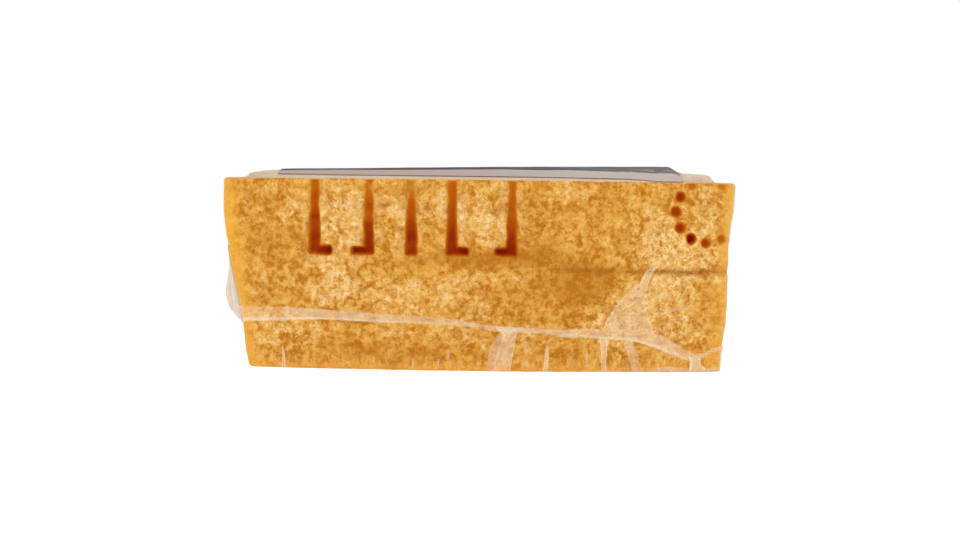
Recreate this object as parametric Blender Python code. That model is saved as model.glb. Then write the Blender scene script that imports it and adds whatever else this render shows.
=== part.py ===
"""A wedge of hard grating cheese in tight clear film, with a label on top.

The rind faces -Y, the blunt tip faces +Y, and the wedge rests on its lower cut face at Z = 0.
The origin is on that face, under the middle of the whole piece.
"""

import math

import bmesh
import bpy
from mathutils import Vector

MM = 0.001

# The wedge, and the wheel that it was cut from
WHEEL_RADIUS = 210 * MM  # at the upper edge of the rind
BARREL_DROP = 6 * MM  # how much smaller the wheel is at the lower edge
RIND_HEIGHT = 51.4 * MM
WEDGE_LENGTH = 175 * MM  # from the middle of the rind to the tip
TIP_WIDTH = 24 * MM
TIP_LEAN = 2 * MM  # how far the tip leans back from bottom to top
# The two upright ends of the rind: (height, distance from the middle)
LEFT_END = [(0, -61.9), (4.6, -62.9), (16.4, -64.3), (27.7, -66.8), (40.6, -68.9), (51.4, -69.2)]
RIGHT_END = [(0, 66.3), (6.6, 66.6), (13.9, 67.4), (28.6, 67.6), (36.6, 67.8), (44.7, 68.9), (51.4, 69.2)]

# The upper face lies lowest along the rind and rises behind it, more so on the right
RISE_LEFT = 2.75 * MM
RISE_RIGHT = 4.7 * MM
RISE_START = 2 * MM  # behind the rind, in the middle of the wedge
RISE_START_AT_SIDES = 12.5 * MM
RISE_END = 32 * MM
LIP_LENGTH = 6 * MM  # at the sides most of the rise is a short steep lip
LIP_SHARE = (0.6, 0.8)  # of the rise, on the left and on the right
LIP_END = 24 * MM
SHELF_DROP = 1.6 * MM  # the lower shelf along the right side
SHELF_FROM, SHELF_TO = 52.6 * MM, 56 * MM
TIP_DROP = 1.5 * MM

UPPER_ROUND = 1.1 * MM
LOWER_ROUND = 0.8 * MM
CORNER_CUT = 1.8 * MM  # how far each upright corner is rounded along its sides
CORNER_REACH = 0.25 * CORNER_CUT  # so that the rounded ends of the rind still reach their places
CUT_FACE_WAVE = 0.7 * MM  # the cut faces aren't quite flat

# Stamped marks in the rind
STROKE_WIDTH = 3.1 * MM
STROKE_FOOT = 6.3 * MM
FOOT_HEIGHT = 2.4 * MM
STROKE_FLOOR = 30.9 * MM  # height of the marks' lower ends
STROKE_DEPTH = 1.6 * MM
STROKE_TILT = math.radians(2.4)  # shallower towards the upper edge
BRACKETS = [(-44.0 * MM, 17.8 * MM), (-7.2 * MM, 19.2 * MM)]  # (left stroke, outer width)
BAR_AT = -18.0 * MM
DOT_RING_CENTRE = (61.2 * MM, 43.4 * MM)
DOT_RING_RADIUS = 8.3 * MM
DOT_RADIUS = 1.5 * MM
DOT_STEP = math.radians(30)
DOT_ANGLES = [math.radians(150) + k * DOT_STEP for k in range(6)]

# The film's welded seam and the loose ear of film at its left end
FILM_GAP = 0.3 * MM
FILM_THICKNESS = 0.5 * MM  # the seam's folded layers together
# Its lower and upper edges along the rind: (distance from the middle, height)
SEAM_LOWER = [(-66, 12.3), (-51.5, 12.9), (-41.5, 13.4), (-25.9, 12.9), (-10.7, 12.6), (0.7, 11.9), (3.5, 11.1)]
SEAM_LOWER += [(16, 10.5), (28.3, 9.5), (37.6, 8.9), (41.9, 8.5), (47, 7), (53.3, 4.6), (59.1, 2.1), (66.5, 1.4)]
SEAM_UPPER = [(-66, 16.8), (-51.5, 16.7), (-41.5, 16.2), (-25.9, 15.2), (-10.7, 14.6), (-3.6, 13.7), (3.5, 12.6)]
SEAM_UPPER += [(11.2, 12.1), (22, 11.6), (33.7, 11.9), (46.8, 11.1), (53.3, 8), (59, 5.2), (66.5, 4.4)]
TIP_SEAM = 25 * MM
TIP_SEAM_HALF = 1.15 * MM  # half the seam's height there
EAR_LENGTH = 17 * MM
EAR_GAP = 0.45 * MM
EAR_THICKNESS = 0.5 * MM
# How far the ear stands off the left face: (height, distance) and (place along the face, share)
EAR_RIDGE = [(12, 0.5), (14, 2.1), (16, 3.3), (18, 3.7), (20, 3.7), (22, 3.2), (24.5, 2.2), (27, 1.4)]
EAR_RIDGE += [(30, 0.6), (33, 0.05)]
EAR_PROFILE = [(0, 0.1), (1.9, 0.85), (3.8, 1.0), (7, 0.8), (11, 0.45), (17, 0.03)]

# The label
LABEL_GAP = 0.45 * MM
LABEL_THICKNESS = 0.4 * MM
LABEL_HALF = 55.3 * MM  # half its width where the wedge is wide enough
LABEL_HALF_SHARE = 0.93  # of the wedge's half angle, farther back
# How far behind the rind its front edge lies, from its left end at -10 to its right end at 10
LABEL_FRONT = [(-10, 12.2), (0, 11), (4.5, 9.8), (7.7, 7.2), (10, 4)]
LABEL_BACK = 126 * MM
LABEL_CORNER = 2 * MM

FRONT_Y = -WEDGE_LENGTH / 2
AXIS_Y = FRONT_Y + WHEEL_RADIUS
TIP_Y = FRONT_Y + WEDGE_LENGTH
HALF_ANGLE = math.asin(RIGHT_END[-1][1] * MM / WHEEL_RADIUS)
RIND, RIGHT, TIP, LEFT = range(4)
SPANS = {RIND: 34, RIGHT: 24, TIP: 4, LEFT: 24}
CORNER_SPANS = 3
NEAR_RIND = 1.6  # the sides' lines stand closer together near the rind


def smoothstep(low, high, value):
    t = min(max((value - low) / (high - low), 0), 1)
    return t * t * (3 - 2 * t)


def through(points, at):
    """The value at a place on a smooth curve through (place, value) points, all in millimetres."""
    t = at / MM
    if t <= points[0][0]:
        return points[0][1] * MM
    if t >= points[-1][0]:
        return points[-1][1] * MM
    k = next(i for i in range(len(points) - 1) if t <= points[i + 1][0])
    (t0, v0), (t1, v1) = points[k], points[k + 1]

    def slope(a, b):
        return (points[b][1] - points[a][1]) / (points[b][0] - points[a][0])

    run = t1 - t0
    start = slope(max(k - 1, 0), k + 1) * run
    end = slope(k, min(k + 2, len(points) - 1)) * run
    s = (t - t0) / run
    value = (2 * s**3 - 3 * s**2 + 1) * v0 + (s**3 - 2 * s**2 + s) * start
    value += (3 * s**2 - 2 * s**3) * v1 + (s**3 - s**2) * end
    return value * MM


def rind_radius(z):
    below = max(RIND_HEIGHT - z, 0) / RIND_HEIGHT
    return WHEEL_RADIUS - BARREL_DROP * below**2


def rind_y(x, z):
    return AXIS_Y - math.sqrt(rind_radius(z) ** 2 - x * x)


def wedge_corners(z):
    """The four corners of the level section at height z, without their rounding."""
    left = through(LEFT_END, z) - CORNER_REACH
    right = through(RIGHT_END, z) + CORNER_REACH
    tip_y = TIP_Y - TIP_LEAN * (1 - min(z / RIND_HEIGHT, 1))
    return [
        Vector((left, rind_y(left, z))),
        Vector((right, rind_y(right, z))),
        Vector((TIP_WIDTH / 2, tip_y)),
        Vector((-TIP_WIDTH / 2, tip_y)),
    ]


def on_side(side, s, z):
    """A point at share s along one side of the level section at height z."""
    corners = wedge_corners(z)
    start, end = corners[side], corners[(side + 1) % 4]
    point = start.lerp(end, s)
    if side == RIND:
        return Vector((point.x, rind_y(point.x, z)))
    if side == TIP:
        return point
    along = (end - start).normalized()
    wave = math.sin(math.pi * s) * math.sin(5.3 * s + 42 * z + side)
    return point + Vector((along.y, -along.x)) * CUT_FACE_WAVE * wave


def cut_share(side):
    """The share of a side that each of its rounded corners takes."""
    corners = wedge_corners(RIND_HEIGHT)
    return CORNER_CUT / (corners[(side + 1) % 4] - corners[side]).length


def columns():
    """The wall's upright lines: (side, share along it, None), or (side, None, share round its far corner)."""
    found = []
    for side, spans in SPANS.items():
        cut = cut_share(side)
        shares = [k / spans for k in range(spans + 1)]
        if side == RIGHT:
            shares = [share**NEAR_RIND for share in shares]
        if side == LEFT:
            shares = [1 - (1 - share) ** NEAR_RIND for share in shares]
        found += [(side, cut + (1 - 2 * cut) * share, None) for share in shares]
        found += [(side, None, k / CORNER_SPANS) for k in range(1, CORNER_SPANS)]
    return found


COLUMNS = columns()


def plan_point(column, z):
    side, s, turn = column
    if turn is None:
        return on_side(side, s, z)
    after = (side + 1) % 4
    start = on_side(side, 1 - cut_share(side), z)
    end = on_side(after, cut_share(after), z)
    return start.lerp(on_side(side, 1, z), turn).lerp(on_side(side, 1, z).lerp(end, turn), turn)


def wall_point(index, z, outward=0.0):
    """A point of the wall in column number index, moved outward by a distance."""
    point = plan_point(COLUMNS[index], z)
    if outward:
        before = plan_point(COLUMNS[index - 1], z)
        after = plan_point(COLUMNS[(index + 1) % len(COLUMNS)], z)
        along = (after - before).normalized()
        point = point + Vector((along.y, -along.x)) * outward
    return Vector((point.x, point.y, z))


def half_angle_share(x, y):
    """-1 on the left cut face and 1 on the right one."""
    return math.atan2(x, AXIS_Y - y) / HALF_ANGLE


def upper_z(x, y):
    """Height of the upper cut face."""
    behind = WHEEL_RADIUS - math.hypot(x, AXIS_Y - y)
    share = min(max(half_angle_share(x, y), -1), 1)
    rightness, sideness = (share + 1) / 2, share**4
    start = RISE_START + (RISE_START_AT_SIDES - RISE_START) * sideness
    rise = RISE_LEFT + (RISE_RIGHT - RISE_LEFT) * rightness
    rise -= SHELF_DROP * smoothstep(SHELF_FROM, SHELF_TO, x)
    steep = LIP_SHARE[0] + (LIP_SHARE[1] - LIP_SHARE[0]) * rightness
    lip = steep * smoothstep(0, LIP_LENGTH, behind - start) + (1 - steep) * smoothstep(0, LIP_END, behind - start)
    rise *= smoothstep(start, RISE_END, behind) * (1 - sideness) + lip * sideness
    rise -= TIP_DROP * smoothstep(RISE_END, WEDGE_LENGTH, behind)
    return RIND_HEIGHT + rise


def add_ring(bm, points):
    return [bm.verts.new(p) for p in points]


def bridge(bm, lower, upper, closed=True):
    count = len(lower)
    for k in range(count if closed else count - 1):
        following = (k + 1) % count
        bm.faces.new((lower[k], lower[following], upper[following], upper[k]))


def finish(name, bm, material, smooth_angle=35):
    bmesh.ops.recalc_face_normals(bm, faces=bm.faces)
    mesh = bpy.data.meshes.new(name)
    bm.to_mesh(mesh)
    bm.free()
    mesh.shade_smooth()
    mesh.set_sharp_from_angle(angle=math.radians(smooth_angle))
    obj = bpy.data.objects.new(name, mesh)
    bpy.context.scene.collection.objects.link(obj)
    if material:
        mesh.materials.append(material)
    return obj


def plain_material(name, colour, roughness, alpha=1.0):
    material = bpy.data.materials.new(name)
    material.use_nodes = True
    shader = material.node_tree.nodes["Principled BSDF"]
    shader.inputs["Base Color"].default_value = (*colour, 1)
    shader.inputs["Roughness"].default_value = roughness
    shader.inputs["Metallic"].default_value = 0
    shader.inputs["Alpha"].default_value = alpha
    return material


def make_cheese(material):
    """The wedge, as it fills its tight film, before the marks are stamped."""
    bm = bmesh.new()
    indices = range(len(COLUMNS))
    edge_heights = []
    for index in indices:
        edge = wall_point(index, RIND_HEIGHT, -UPPER_ROUND)
        edge_heights.append(upper_z(edge.x, edge.y))
    rings = []
    for k in range(3):
        angle = math.pi / 2 * k / 2
        z = LOWER_ROUND * (1 - math.sin(angle))
        inset = LOWER_ROUND * (1 - math.cos(angle))
        rings.append(add_ring(bm, [wall_point(i, z, -inset) for i in indices]))
    wall_levels = 9
    for level in range(1, wall_levels + 1):
        share = level / wall_levels
        points = []
        for i in indices:
            top = edge_heights[i] - UPPER_ROUND
            points.append(wall_point(i, LOWER_ROUND + share * (top - LOWER_ROUND)))
        rings.insert(0, add_ring(bm, points))
    for k in range(1, 4):
        angle = math.pi / 2 * k / 3
        inset = UPPER_ROUND * (1 - math.cos(angle))
        points = []
        for i in indices:
            point = wall_point(i, RIND_HEIGHT, -inset)
            point.z = edge_heights[i] - UPPER_ROUND * (1 - math.sin(angle))
            points.append(point)
        rings.insert(0, add_ring(bm, points))
    centre = Vector((0, FRONT_Y + WEDGE_LENGTH * 0.42, 0))
    edge_points = [v.co.copy() for v in rings[0]]
    for shrink in (0.03, 0.065, 0.105, 0.15, 0.21, 0.28, 0.37, 0.5, 0.7):
        points = []
        for edge in edge_points:
            point = edge.lerp(centre, shrink)
            point.z = upper_z(point.x, point.y)
            points.append(point)
        rings.insert(0, add_ring(bm, points))
    for upper, lower in zip(rings, rings[1:]):
        bridge(bm, lower, upper)
    middle = bm.verts.new((centre.x, centre.y, upper_z(centre.x, centre.y)))
    for k in indices:
        bm.faces.new((rings[0][k], rings[0][(k + 1) % len(COLUMNS)], middle))
    bm.faces.new(rings[-1])
    return finish("cheese", bm, material)


def rind_frame(x, z):
    """(point, outward normal, direction up the rind) on the rind face."""
    step = 0.5 * MM
    point = Vector((x, rind_y(x, z), z))
    across = Vector((2 * step, rind_y(x + step, z) - rind_y(x - step, z), 0)).normalized()
    up = Vector((0, rind_y(x, z + step) - rind_y(x, z - step), 2 * step)).normalized()
    return point, across.cross(up).normalized(), up


def as_cutter(obj, collection):
    bpy.context.scene.collection.objects.unlink(obj)
    collection.objects.link(obj)
    obj.hide_render = True
    obj.display_type = "WIRE"


def stroke_cutter(name, x, foot, collection):
    """An upright stroke out over the upper edge, with a foot to the right (1), left (-1) or none (0)."""
    half = STROKE_WIDTH / 2
    rise = RIND_HEIGHT - STROKE_FLOOR + 6 * MM
    outline = [(-half, 0), (half, 0), (half, rise), (-half, rise)]
    if foot:
        reach = STROKE_FOOT - half
        step = [(reach, 0), (reach, FOOT_HEIGHT), (half, FOOT_HEIGHT)]
        outline = [(-half, 0), *step, (half, rise), (-half, rise)]
        outline = [(foot * u, v) for u, v in outline]
    point, outward, up = rind_frame(x, STROKE_FLOOR)
    across = up.cross(outward).normalized()
    up = (up * math.cos(STROKE_TILT) + outward * math.sin(STROKE_TILT)).normalized()
    outward = across.cross(up).normalized()
    bm = bmesh.new()
    inner, outer = [], []
    for u, v in outline:
        base = point + across * u + up * v
        inner.append(bm.verts.new(base - outward * STROKE_DEPTH))
        outer.append(bm.verts.new(base + outward * 4 * MM))
    bridge(bm, inner, outer)
    floor = bm.faces.new(inner)
    bm.faces.new(outer)
    bmesh.ops.bevel(
        bm, geom=list(floor.edges), offset=0.6 * MM, segments=2, profile=0.5, affect="EDGES"
    )
    as_cutter(finish(name, bm, None), collection)


def dot_cutter(name, x, z, depth, collection):
    """A round pin mark, drilled along the rind's normal."""
    point, outward, up = rind_frame(x, z)
    across = up.cross(outward)
    bm = bmesh.new()
    rings = []
    for radius, reach in ((0.62, -depth), (0.92, -depth * 0.6), (1.12, 0.0), (1.25, 2 * MM)):
        turns = [math.tau * k / 12 for k in range(12)]
        ring = [
            point + outward * reach + (across * math.cos(a) + up * math.sin(a)) * DOT_RADIUS * radius
            for a in turns
        ]
        rings.append(add_ring(bm, ring))
    for lower, upper in zip(rings, rings[1:]):
        bridge(bm, lower, upper)
    bm.faces.new(rings[0])
    bm.faces.new(rings[-1])
    as_cutter(finish(name, bm, None), collection)


def stamp_rind(cheese):
    """Cuts two open brackets with a bar between them, and part of a ring of pin dots."""
    stamps = bpy.data.collections.new("stamps")
    bpy.context.scene.collection.children.link(stamps)
    for number, (left, width) in enumerate(BRACKETS, 1):
        stroke_cutter(f"stroke_{number}_left", left, 1, stamps)
        stroke_cutter(f"stroke_{number}_right", left + width - STROKE_WIDTH, -1, stamps)
    stroke_cutter("stroke_bar", BAR_AT, 0, stamps)
    for number, angle in enumerate(DOT_ANGLES, 1):
        x = DOT_RING_CENTRE[0] + DOT_RING_RADIUS * math.cos(angle)
        z = DOT_RING_CENTRE[1] + DOT_RING_RADIUS * math.sin(angle)
        depth = (0.6 + 0.7 * smoothstep(DOT_ANGLES[0], DOT_ANGLES[4], angle)) * MM
        dot_cutter(f"dot_{number}", x, z, depth, stamps)
    cut = cheese.modifiers.new("stamped marks", "BOOLEAN")
    cut.operation = "DIFFERENCE"
    cut.operand_type = "COLLECTION"
    cut.collection = stamps
    cut.solver = "EXACT"


def seam_z(column, edge, tip_z):
    """Height of one edge of the seam, given by its places along the rind and its height at the tip."""
    side, s, turn = column
    place = 1.0 if turn is not None else s
    if side == RIND:
        return through(edge, plan_point(column, 10 * MM).x)
    if side == TIP:
        return tip_z
    if side == RIGHT:
        return edge[-1][1] * MM + (tip_z - edge[-1][1] * MM) * smoothstep(0, 1, place)
    return tip_z + (edge[0][1] * MM - tip_z) * smoothstep(0, 0.82, place)


def make_ear():
    """The loose fold of film that stands off the left face beside the rind."""
    length_steps, height_steps = 9, 16
    side_length = (wedge_corners(0)[0] - wedge_corners(0)[3]).length
    low, high = EAR_RIDGE[0][0] * MM, EAR_RIDGE[-1][0] * MM
    bm = bmesh.new()
    inner, outer = [], []
    for i in range(length_steps + 1):
        along = EAR_LENGTH * i / length_steps
        column = (LEFT, 1 - (along + CORNER_CUT) / side_length, None)
        inner_row, outer_row = [], []
        for j in range(height_steps + 1):
            z = low + (high - low) * j / height_steps
            base = plan_point(column, z)
            corners = wedge_corners(z)
            face = (corners[0] - corners[3]).normalized()
            normal = Vector((face.y, -face.x))
            stand = through(EAR_RIDGE, z) * through(EAR_PROFILE, along) / MM
            near = base + normal * EAR_GAP
            far = base + normal * (EAR_GAP + EAR_THICKNESS + stand)
            inner_row.append(bm.verts.new((near.x, near.y, z)))
            outer_row.append(bm.verts.new((far.x, far.y, z)))
        inner.append(inner_row)
        outer.append(outer_row)
    for grid in (inner, outer):
        for a, b in zip(grid, grid[1:]):
            bridge(bm, a, b, closed=False)
    for a, b in ((inner[0], outer[0]), (inner[-1], outer[-1])):
        bridge(bm, a, b, closed=False)
    for j in (0, -1):
        bridge(bm, [row[j] for row in inner], [row[j] for row in outer], closed=False)
    return finish("ear", bm, None)


def make_film(material):
    """The film's standing folds: the welded seam round the wedge, joined to the ear."""
    bm = bmesh.new()
    rings = []
    lower = (SEAM_LOWER, TIP_SEAM - TIP_SEAM_HALF)
    upper = (SEAM_UPPER, TIP_SEAM + TIP_SEAM_HALF)
    for edge, out in ((lower, 0), (lower, 1), (upper, 1), (upper, 0)):
        points = []
        for index, column in enumerate(COLUMNS):
            reach = FILM_GAP + out * FILM_THICKNESS
            points.append(wall_point(index, seam_z(column, *edge), reach))
        rings.append(add_ring(bm, points))
    for a, b in zip(rings, rings[1:] + rings[:1]):
        bridge(bm, a, b)
    film = finish("film", bm, material)
    ear = make_ear()
    ear.hide_render = True
    ear.display_type = "WIRE"
    join = film.modifiers.new("ear", "BOOLEAN")
    join.operation = "UNION"
    join.object = ear
    join.solver = "EXACT"
    return film


def label_stations():
    """(share of the way back, how far the corners cut in) from the label's front edge to its back edge."""
    turns = [math.pi / 2 * k / 4 for k in range(5)]
    round_in = [(LABEL_CORNER * (1 - math.cos(a)), LABEL_CORNER * (1 - math.sin(a))) for a in turns]
    length = LABEL_BACK - LABEL_FRONT[0][1] * MM
    plain = [LABEL_CORNER + (length - 2 * LABEL_CORNER) * k / 16 for k in range(1, 16)]
    front = [(place / length, inset) for place, inset in round_in]
    back = [(1 - place, inset) for place, inset in reversed(front)]
    return front + [(place / length, 0.0) for place in plain] + back


def label_share(place):
    """Spreads even places from -1 to 1 so that they stand closer together near the label's sides."""
    return math.copysign(1 - (1 - abs(place)) ** 1.5, place)


def label_point(across, back_share, inset, lift):
    """A point over the upper face: across runs from -1 to 1, back_share from 0 to 1."""
    front = through(LABEL_FRONT, 10 * across * MM)
    radius = WHEEL_RADIUS - front - (LABEL_BACK - front) * back_share
    half = min(LABEL_HALF, radius * math.sin(HALF_ANGLE * LABEL_HALF_SHARE)) - inset
    x = half * across
    y = AXIS_Y - math.sqrt(radius**2 - x**2)
    return Vector((x, y, upper_z(x, y) + lift))


def make_label(material):
    bm = bmesh.new()
    across_steps = 20
    sheets = []
    for lift in (LABEL_GAP, LABEL_GAP + LABEL_THICKNESS):
        rows = []
        for back_share, inset in label_stations():
            shares = [label_share(2 * k / across_steps - 1) for k in range(across_steps + 1)]
            rows.append(add_ring(bm, [label_point(u, back_share, inset, lift) for u in shares]))
        for a, b in zip(rows, rows[1:]):
            bridge(bm, a, b, closed=False)
        sheets.append(rows)
    lower, upper = sheets
    for k in (0, -1):
        bridge(bm, lower[k], upper[k], closed=False)
        bridge(bm, [row[k] for row in lower], [row[k] for row in upper], closed=False)
    return finish("label", bm, material)


def main():
    for obj in list(bpy.data.objects):
        bpy.data.objects.remove(obj, do_unlink=True)
    cheese = make_cheese(plain_material("rind and paste", (0.72, 0.36, 0.07), 0.45))
    stamp_rind(cheese)
    make_film(plain_material("clear film", (0.86, 0.76, 0.66), 0.2, alpha=0.45))
    make_label(plain_material("printed label", (0.02, 0.018, 0.018), 0.35))


main()
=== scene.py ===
"""Looks of a wedge of hard grating cheese in tight clear film, with a label stuck on top.

The rind faces -Y, the blunt tip faces +Y, and the wedge rests on its lower cut face at Z = 0.
Lengths in millimetres are multiplied by MM, because the model is in metres.
"""

import math

import bpy
import numpy as np
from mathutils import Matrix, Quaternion, Vector


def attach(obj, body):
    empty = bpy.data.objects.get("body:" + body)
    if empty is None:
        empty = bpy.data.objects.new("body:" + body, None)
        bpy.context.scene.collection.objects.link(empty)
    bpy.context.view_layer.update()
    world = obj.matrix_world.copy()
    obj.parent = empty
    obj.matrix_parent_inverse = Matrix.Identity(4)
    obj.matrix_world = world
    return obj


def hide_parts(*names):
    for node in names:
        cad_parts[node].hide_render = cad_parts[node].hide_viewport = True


MM = 0.001

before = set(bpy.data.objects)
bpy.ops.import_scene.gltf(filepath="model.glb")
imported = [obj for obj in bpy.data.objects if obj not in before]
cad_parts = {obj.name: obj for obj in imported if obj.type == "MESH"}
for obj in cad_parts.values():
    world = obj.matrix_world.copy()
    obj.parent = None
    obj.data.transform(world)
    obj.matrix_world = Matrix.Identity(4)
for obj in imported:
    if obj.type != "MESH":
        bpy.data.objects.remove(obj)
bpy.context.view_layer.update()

# ---------------------------------------------------------------- the wedge's measures

WHEEL_RADIUS = 210 * MM
BARREL_DROP = 6 * MM
RIND_HEIGHT = 51.4 * MM
WEDGE_LENGTH = 175 * MM
TIP_WIDTH = 24 * MM
TIP_LEAN = 2 * MM
LEFT_END = [(0, -61.9), (4.6, -62.9), (16.4, -64.3), (27.7, -66.8), (40.6, -68.9), (51.4, -69.2)]
RIGHT_END = [(0, 66.3), (6.6, 66.6), (13.9, 67.4), (28.6, 67.6), (36.6, 67.8), (44.7, 68.9), (51.4, 69.2)]

RISE_LEFT = 2.75 * MM
RISE_RIGHT = 4.7 * MM
RISE_START = 2 * MM
RISE_START_AT_SIDES = 12.5 * MM
RISE_END = 32 * MM
LIP_LENGTH = 6 * MM
LIP_SHARE = (0.6, 0.8)
LIP_END = 24 * MM
SHELF_DROP = 1.6 * MM
SHELF_FROM, SHELF_TO = 52.6 * MM, 56 * MM
TIP_DROP = 1.5 * MM

UPPER_ROUND = 1.1 * MM
LOWER_ROUND = 0.8 * MM
CORNER_CUT = 1.8 * MM
CORNER_REACH = 0.25 * CORNER_CUT
CUT_FACE_WAVE = 0.7 * MM

STROKE_HALF = (1.6 * MM, 1.25 * MM)  # half width at the foot and at the upper edge
STROKE_FOOT = 6.3 * MM
FOOT_HEIGHT = 2.5 * MM
STROKE_FLOOR = 30.9 * MM
STROKE_DEPTH = (1.3 * MM, 0.45 * MM)  # at the foot and at the upper edge
BRACKETS = [(-44.0 * MM, 17.8 * MM), (-7.2 * MM, 19.2 * MM)]
BAR_AT = -18.0 * MM
DOT_RING_CENTRE = (61.2 * MM, 43.4 * MM)
DOT_RING_RADIUS = 8.3 * MM
DOT_RADIUS = 1.6 * MM
# (turn round the ring in degrees, depth, how dark it is)
DOTS = [(150, 0.7, 0.72), (180, 0.7, 0.62), (210, 0.8, 0.68), (240, 1.1, 1.1), (270, 0.9, 0.6), (300, 0.5, 0.36)]
DOTS += [(120, 0.25, 0.3), (90, 0.2, 0.22), (60, 0.2, 0.22)]

FRONT_Y = -WEDGE_LENGTH / 2
AXIS_Y = FRONT_Y + WHEEL_RADIUS
TIP_Y = FRONT_Y + WEDGE_LENGTH
HALF_ANGLE = math.asin(RIGHT_END[-1][1] * MM / WHEEL_RADIUS)
RIND, RIGHT, TIP, LEFT = range(4)

# The cheese and the film lie this far inside and outside the wedge's plain form
FILM_SINK = 0.03 * MM
FILM_OUT = 0.12 * MM


# ---------------------------------------------------------------- curves and grain


def smooth(low, high, value):
    t = np.clip((np.asarray(value, float) - low) / (high - low), 0, 1)
    return t * t * (3 - 2 * t)


def bell(value, centre, width):
    return np.exp(-(((np.asarray(value, float) - centre) / width) ** 2))


def through(points, at):
    """Values on a smooth curve through (place, value) points given in millimetres."""
    place, value = (np.array(column, float) for column in zip(*points))
    slope = np.empty(len(place))
    slope[1:-1] = (value[2:] - value[:-2]) / (place[2:] - place[:-2])
    slope[0] = (value[1] - value[0]) / (place[1] - place[0])
    slope[-1] = (value[-1] - value[-2]) / (place[-1] - place[-2])
    t = np.clip(np.asarray(at, float) / MM, place[0], place[-1])
    k = np.clip(np.searchsorted(place, t, side="right") - 1, 0, len(place) - 2)
    run = place[k + 1] - place[k]
    s = (t - place[k]) / run
    found = (2 * s**3 - 3 * s**2 + 1) * value[k] + (s**3 - 2 * s**2 + s) * slope[k] * run
    found += (3 * s**2 - 2 * s**3) * value[k + 1] + (s**3 - s**2) * slope[k + 1] * run
    return found * MM


def along(places, count):
    """Evenly spread points on a smooth path through a few (x, z) places in millimetres."""
    places = np.array(places, float)
    steps = np.linalg.norm(np.diff(places, axis=0), axis=1)
    run = np.concatenate([[0], np.cumsum(steps)])
    at = np.linspace(0, run[-1], count) * MM
    first = through(list(zip(run, places[:, 0])), at)
    second = through(list(zip(run, places[:, 1])), at)
    return np.stack([first, second], axis=-1)


def grain(points, size, seed=0):
    """Smooth random values from -1 to 1 at points, with features of about the given size."""
    p = np.asarray(points, float) / size + 31.7 * (seed + 1)
    cell = np.floor(p).astype(np.int64)
    part = p - cell
    part = part * part * (3 - 2 * part)
    total = np.zeros(p.shape[:-1])
    for corner in np.ndindex(2, 2, 2):
        c = cell + np.array(corner)
        mixed = c[..., 0] * 73856093 ^ c[..., 1] * 19349663 ^ c[..., 2] * 83492791
        mixed = ((mixed ^ (mixed >> 13)) * 1274126177) & 0x7FFFFFFF
        value = ((mixed ^ (mixed >> 15)) & 0xFFFF) / 32767.5 - 1
        weight = np.ones(p.shape[:-1])
        for axis, side in enumerate(corner):
            weight = weight * (part[..., axis] if side else 1 - part[..., axis])
        total += value * weight
    return total


# ---------------------------------------------------------------- the wedge's form


def rind_radius(z):
    below = np.maximum(RIND_HEIGHT - z, 0) / RIND_HEIGHT
    return WHEEL_RADIUS - BARREL_DROP * below**2


def rind_y(x, z):
    return AXIS_Y - np.sqrt(rind_radius(z) ** 2 - x * x)


def wedge_corners(z):
    """The four corners, without rounding, of the level sections at heights z."""
    left = through(LEFT_END, z) - CORNER_REACH
    right = through(RIGHT_END, z) + CORNER_REACH
    tip_y = TIP_Y - TIP_LEAN * (1 - np.minimum(z / RIND_HEIGHT, 1))
    half = np.full_like(z, TIP_WIDTH / 2)
    return [
        np.stack([left, rind_y(left, z)], -1),
        np.stack([right, rind_y(right, z)], -1),
        np.stack([half, tip_y], -1),
        np.stack([-half, tip_y], -1),
    ]


def on_side(side, s, z):
    corners = wedge_corners(z)
    start, end = corners[side], corners[(side + 1) % 4]
    point = start + (end - start) * s
    if side == RIND:
        return np.stack([point[..., 0], rind_y(point[..., 0], z)], -1)
    if side == TIP:
        return point
    way = (end - start) / np.linalg.norm(end - start, axis=-1, keepdims=True)
    wave = np.sin(np.pi * s) * np.sin(5.3 * s + 42 * z + side)
    outward = np.stack([way[..., 1], -way[..., 0]], -1)
    return point + outward * (CUT_FACE_WAVE * wave)[..., None]


def cut_share(side):
    corners = wedge_corners(np.array([RIND_HEIGHT]))
    return CORNER_CUT / np.linalg.norm(corners[(side + 1) % 4] - corners[side])


def columns(spans, corner_spans):
    """Every upright line of the wall: (side, share along it, turn round its far corner)."""
    found = []
    for side, count in spans.items():
        cut = cut_share(side)
        found += [(side, cut + (1 - 2 * cut) * k / count, None) for k in range(count + 1)]
        found += [(side, None, k / corner_spans) for k in range(1, corner_spans)]
    return found


def plan(column, z):
    side, s, turn = column
    if turn is None:
        return on_side(side, s, z)
    after = (side + 1) % 4
    start, end = on_side(side, 1 - cut_share(side), z), on_side(after, cut_share(after), z)
    corner = on_side(side, 1.0, z)
    first, second = start + (corner - start) * turn, corner + (end - corner) * turn
    return first + (second - first) * turn


def upper_z(x, y):
    """Height of the upper cut face."""
    behind = WHEEL_RADIUS - np.hypot(x, AXIS_Y - y)
    share = np.clip(np.arctan2(x, AXIS_Y - y) / HALF_ANGLE, -1, 1)
    rightness, sideness = (share + 1) / 2, share**4
    start = RISE_START + (RISE_START_AT_SIDES - RISE_START) * sideness
    rise = RISE_LEFT + (RISE_RIGHT - RISE_LEFT) * rightness
    rise = rise - SHELF_DROP * smooth(SHELF_FROM, SHELF_TO, x)
    steep = LIP_SHARE[0] + (LIP_SHARE[1] - LIP_SHARE[0]) * rightness
    lip = steep * smooth(0, LIP_LENGTH, behind - start) + (1 - steep) * smooth(0, LIP_END, behind - start)
    rise = rise * (smooth(0, 1, (behind - start) / (RISE_END - start)) * (1 - sideness) + lip * sideness)
    rise = rise - TIP_DROP * smooth(RISE_END, WEDGE_LENGTH, behind)
    return RIND_HEIGHT + rise


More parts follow.
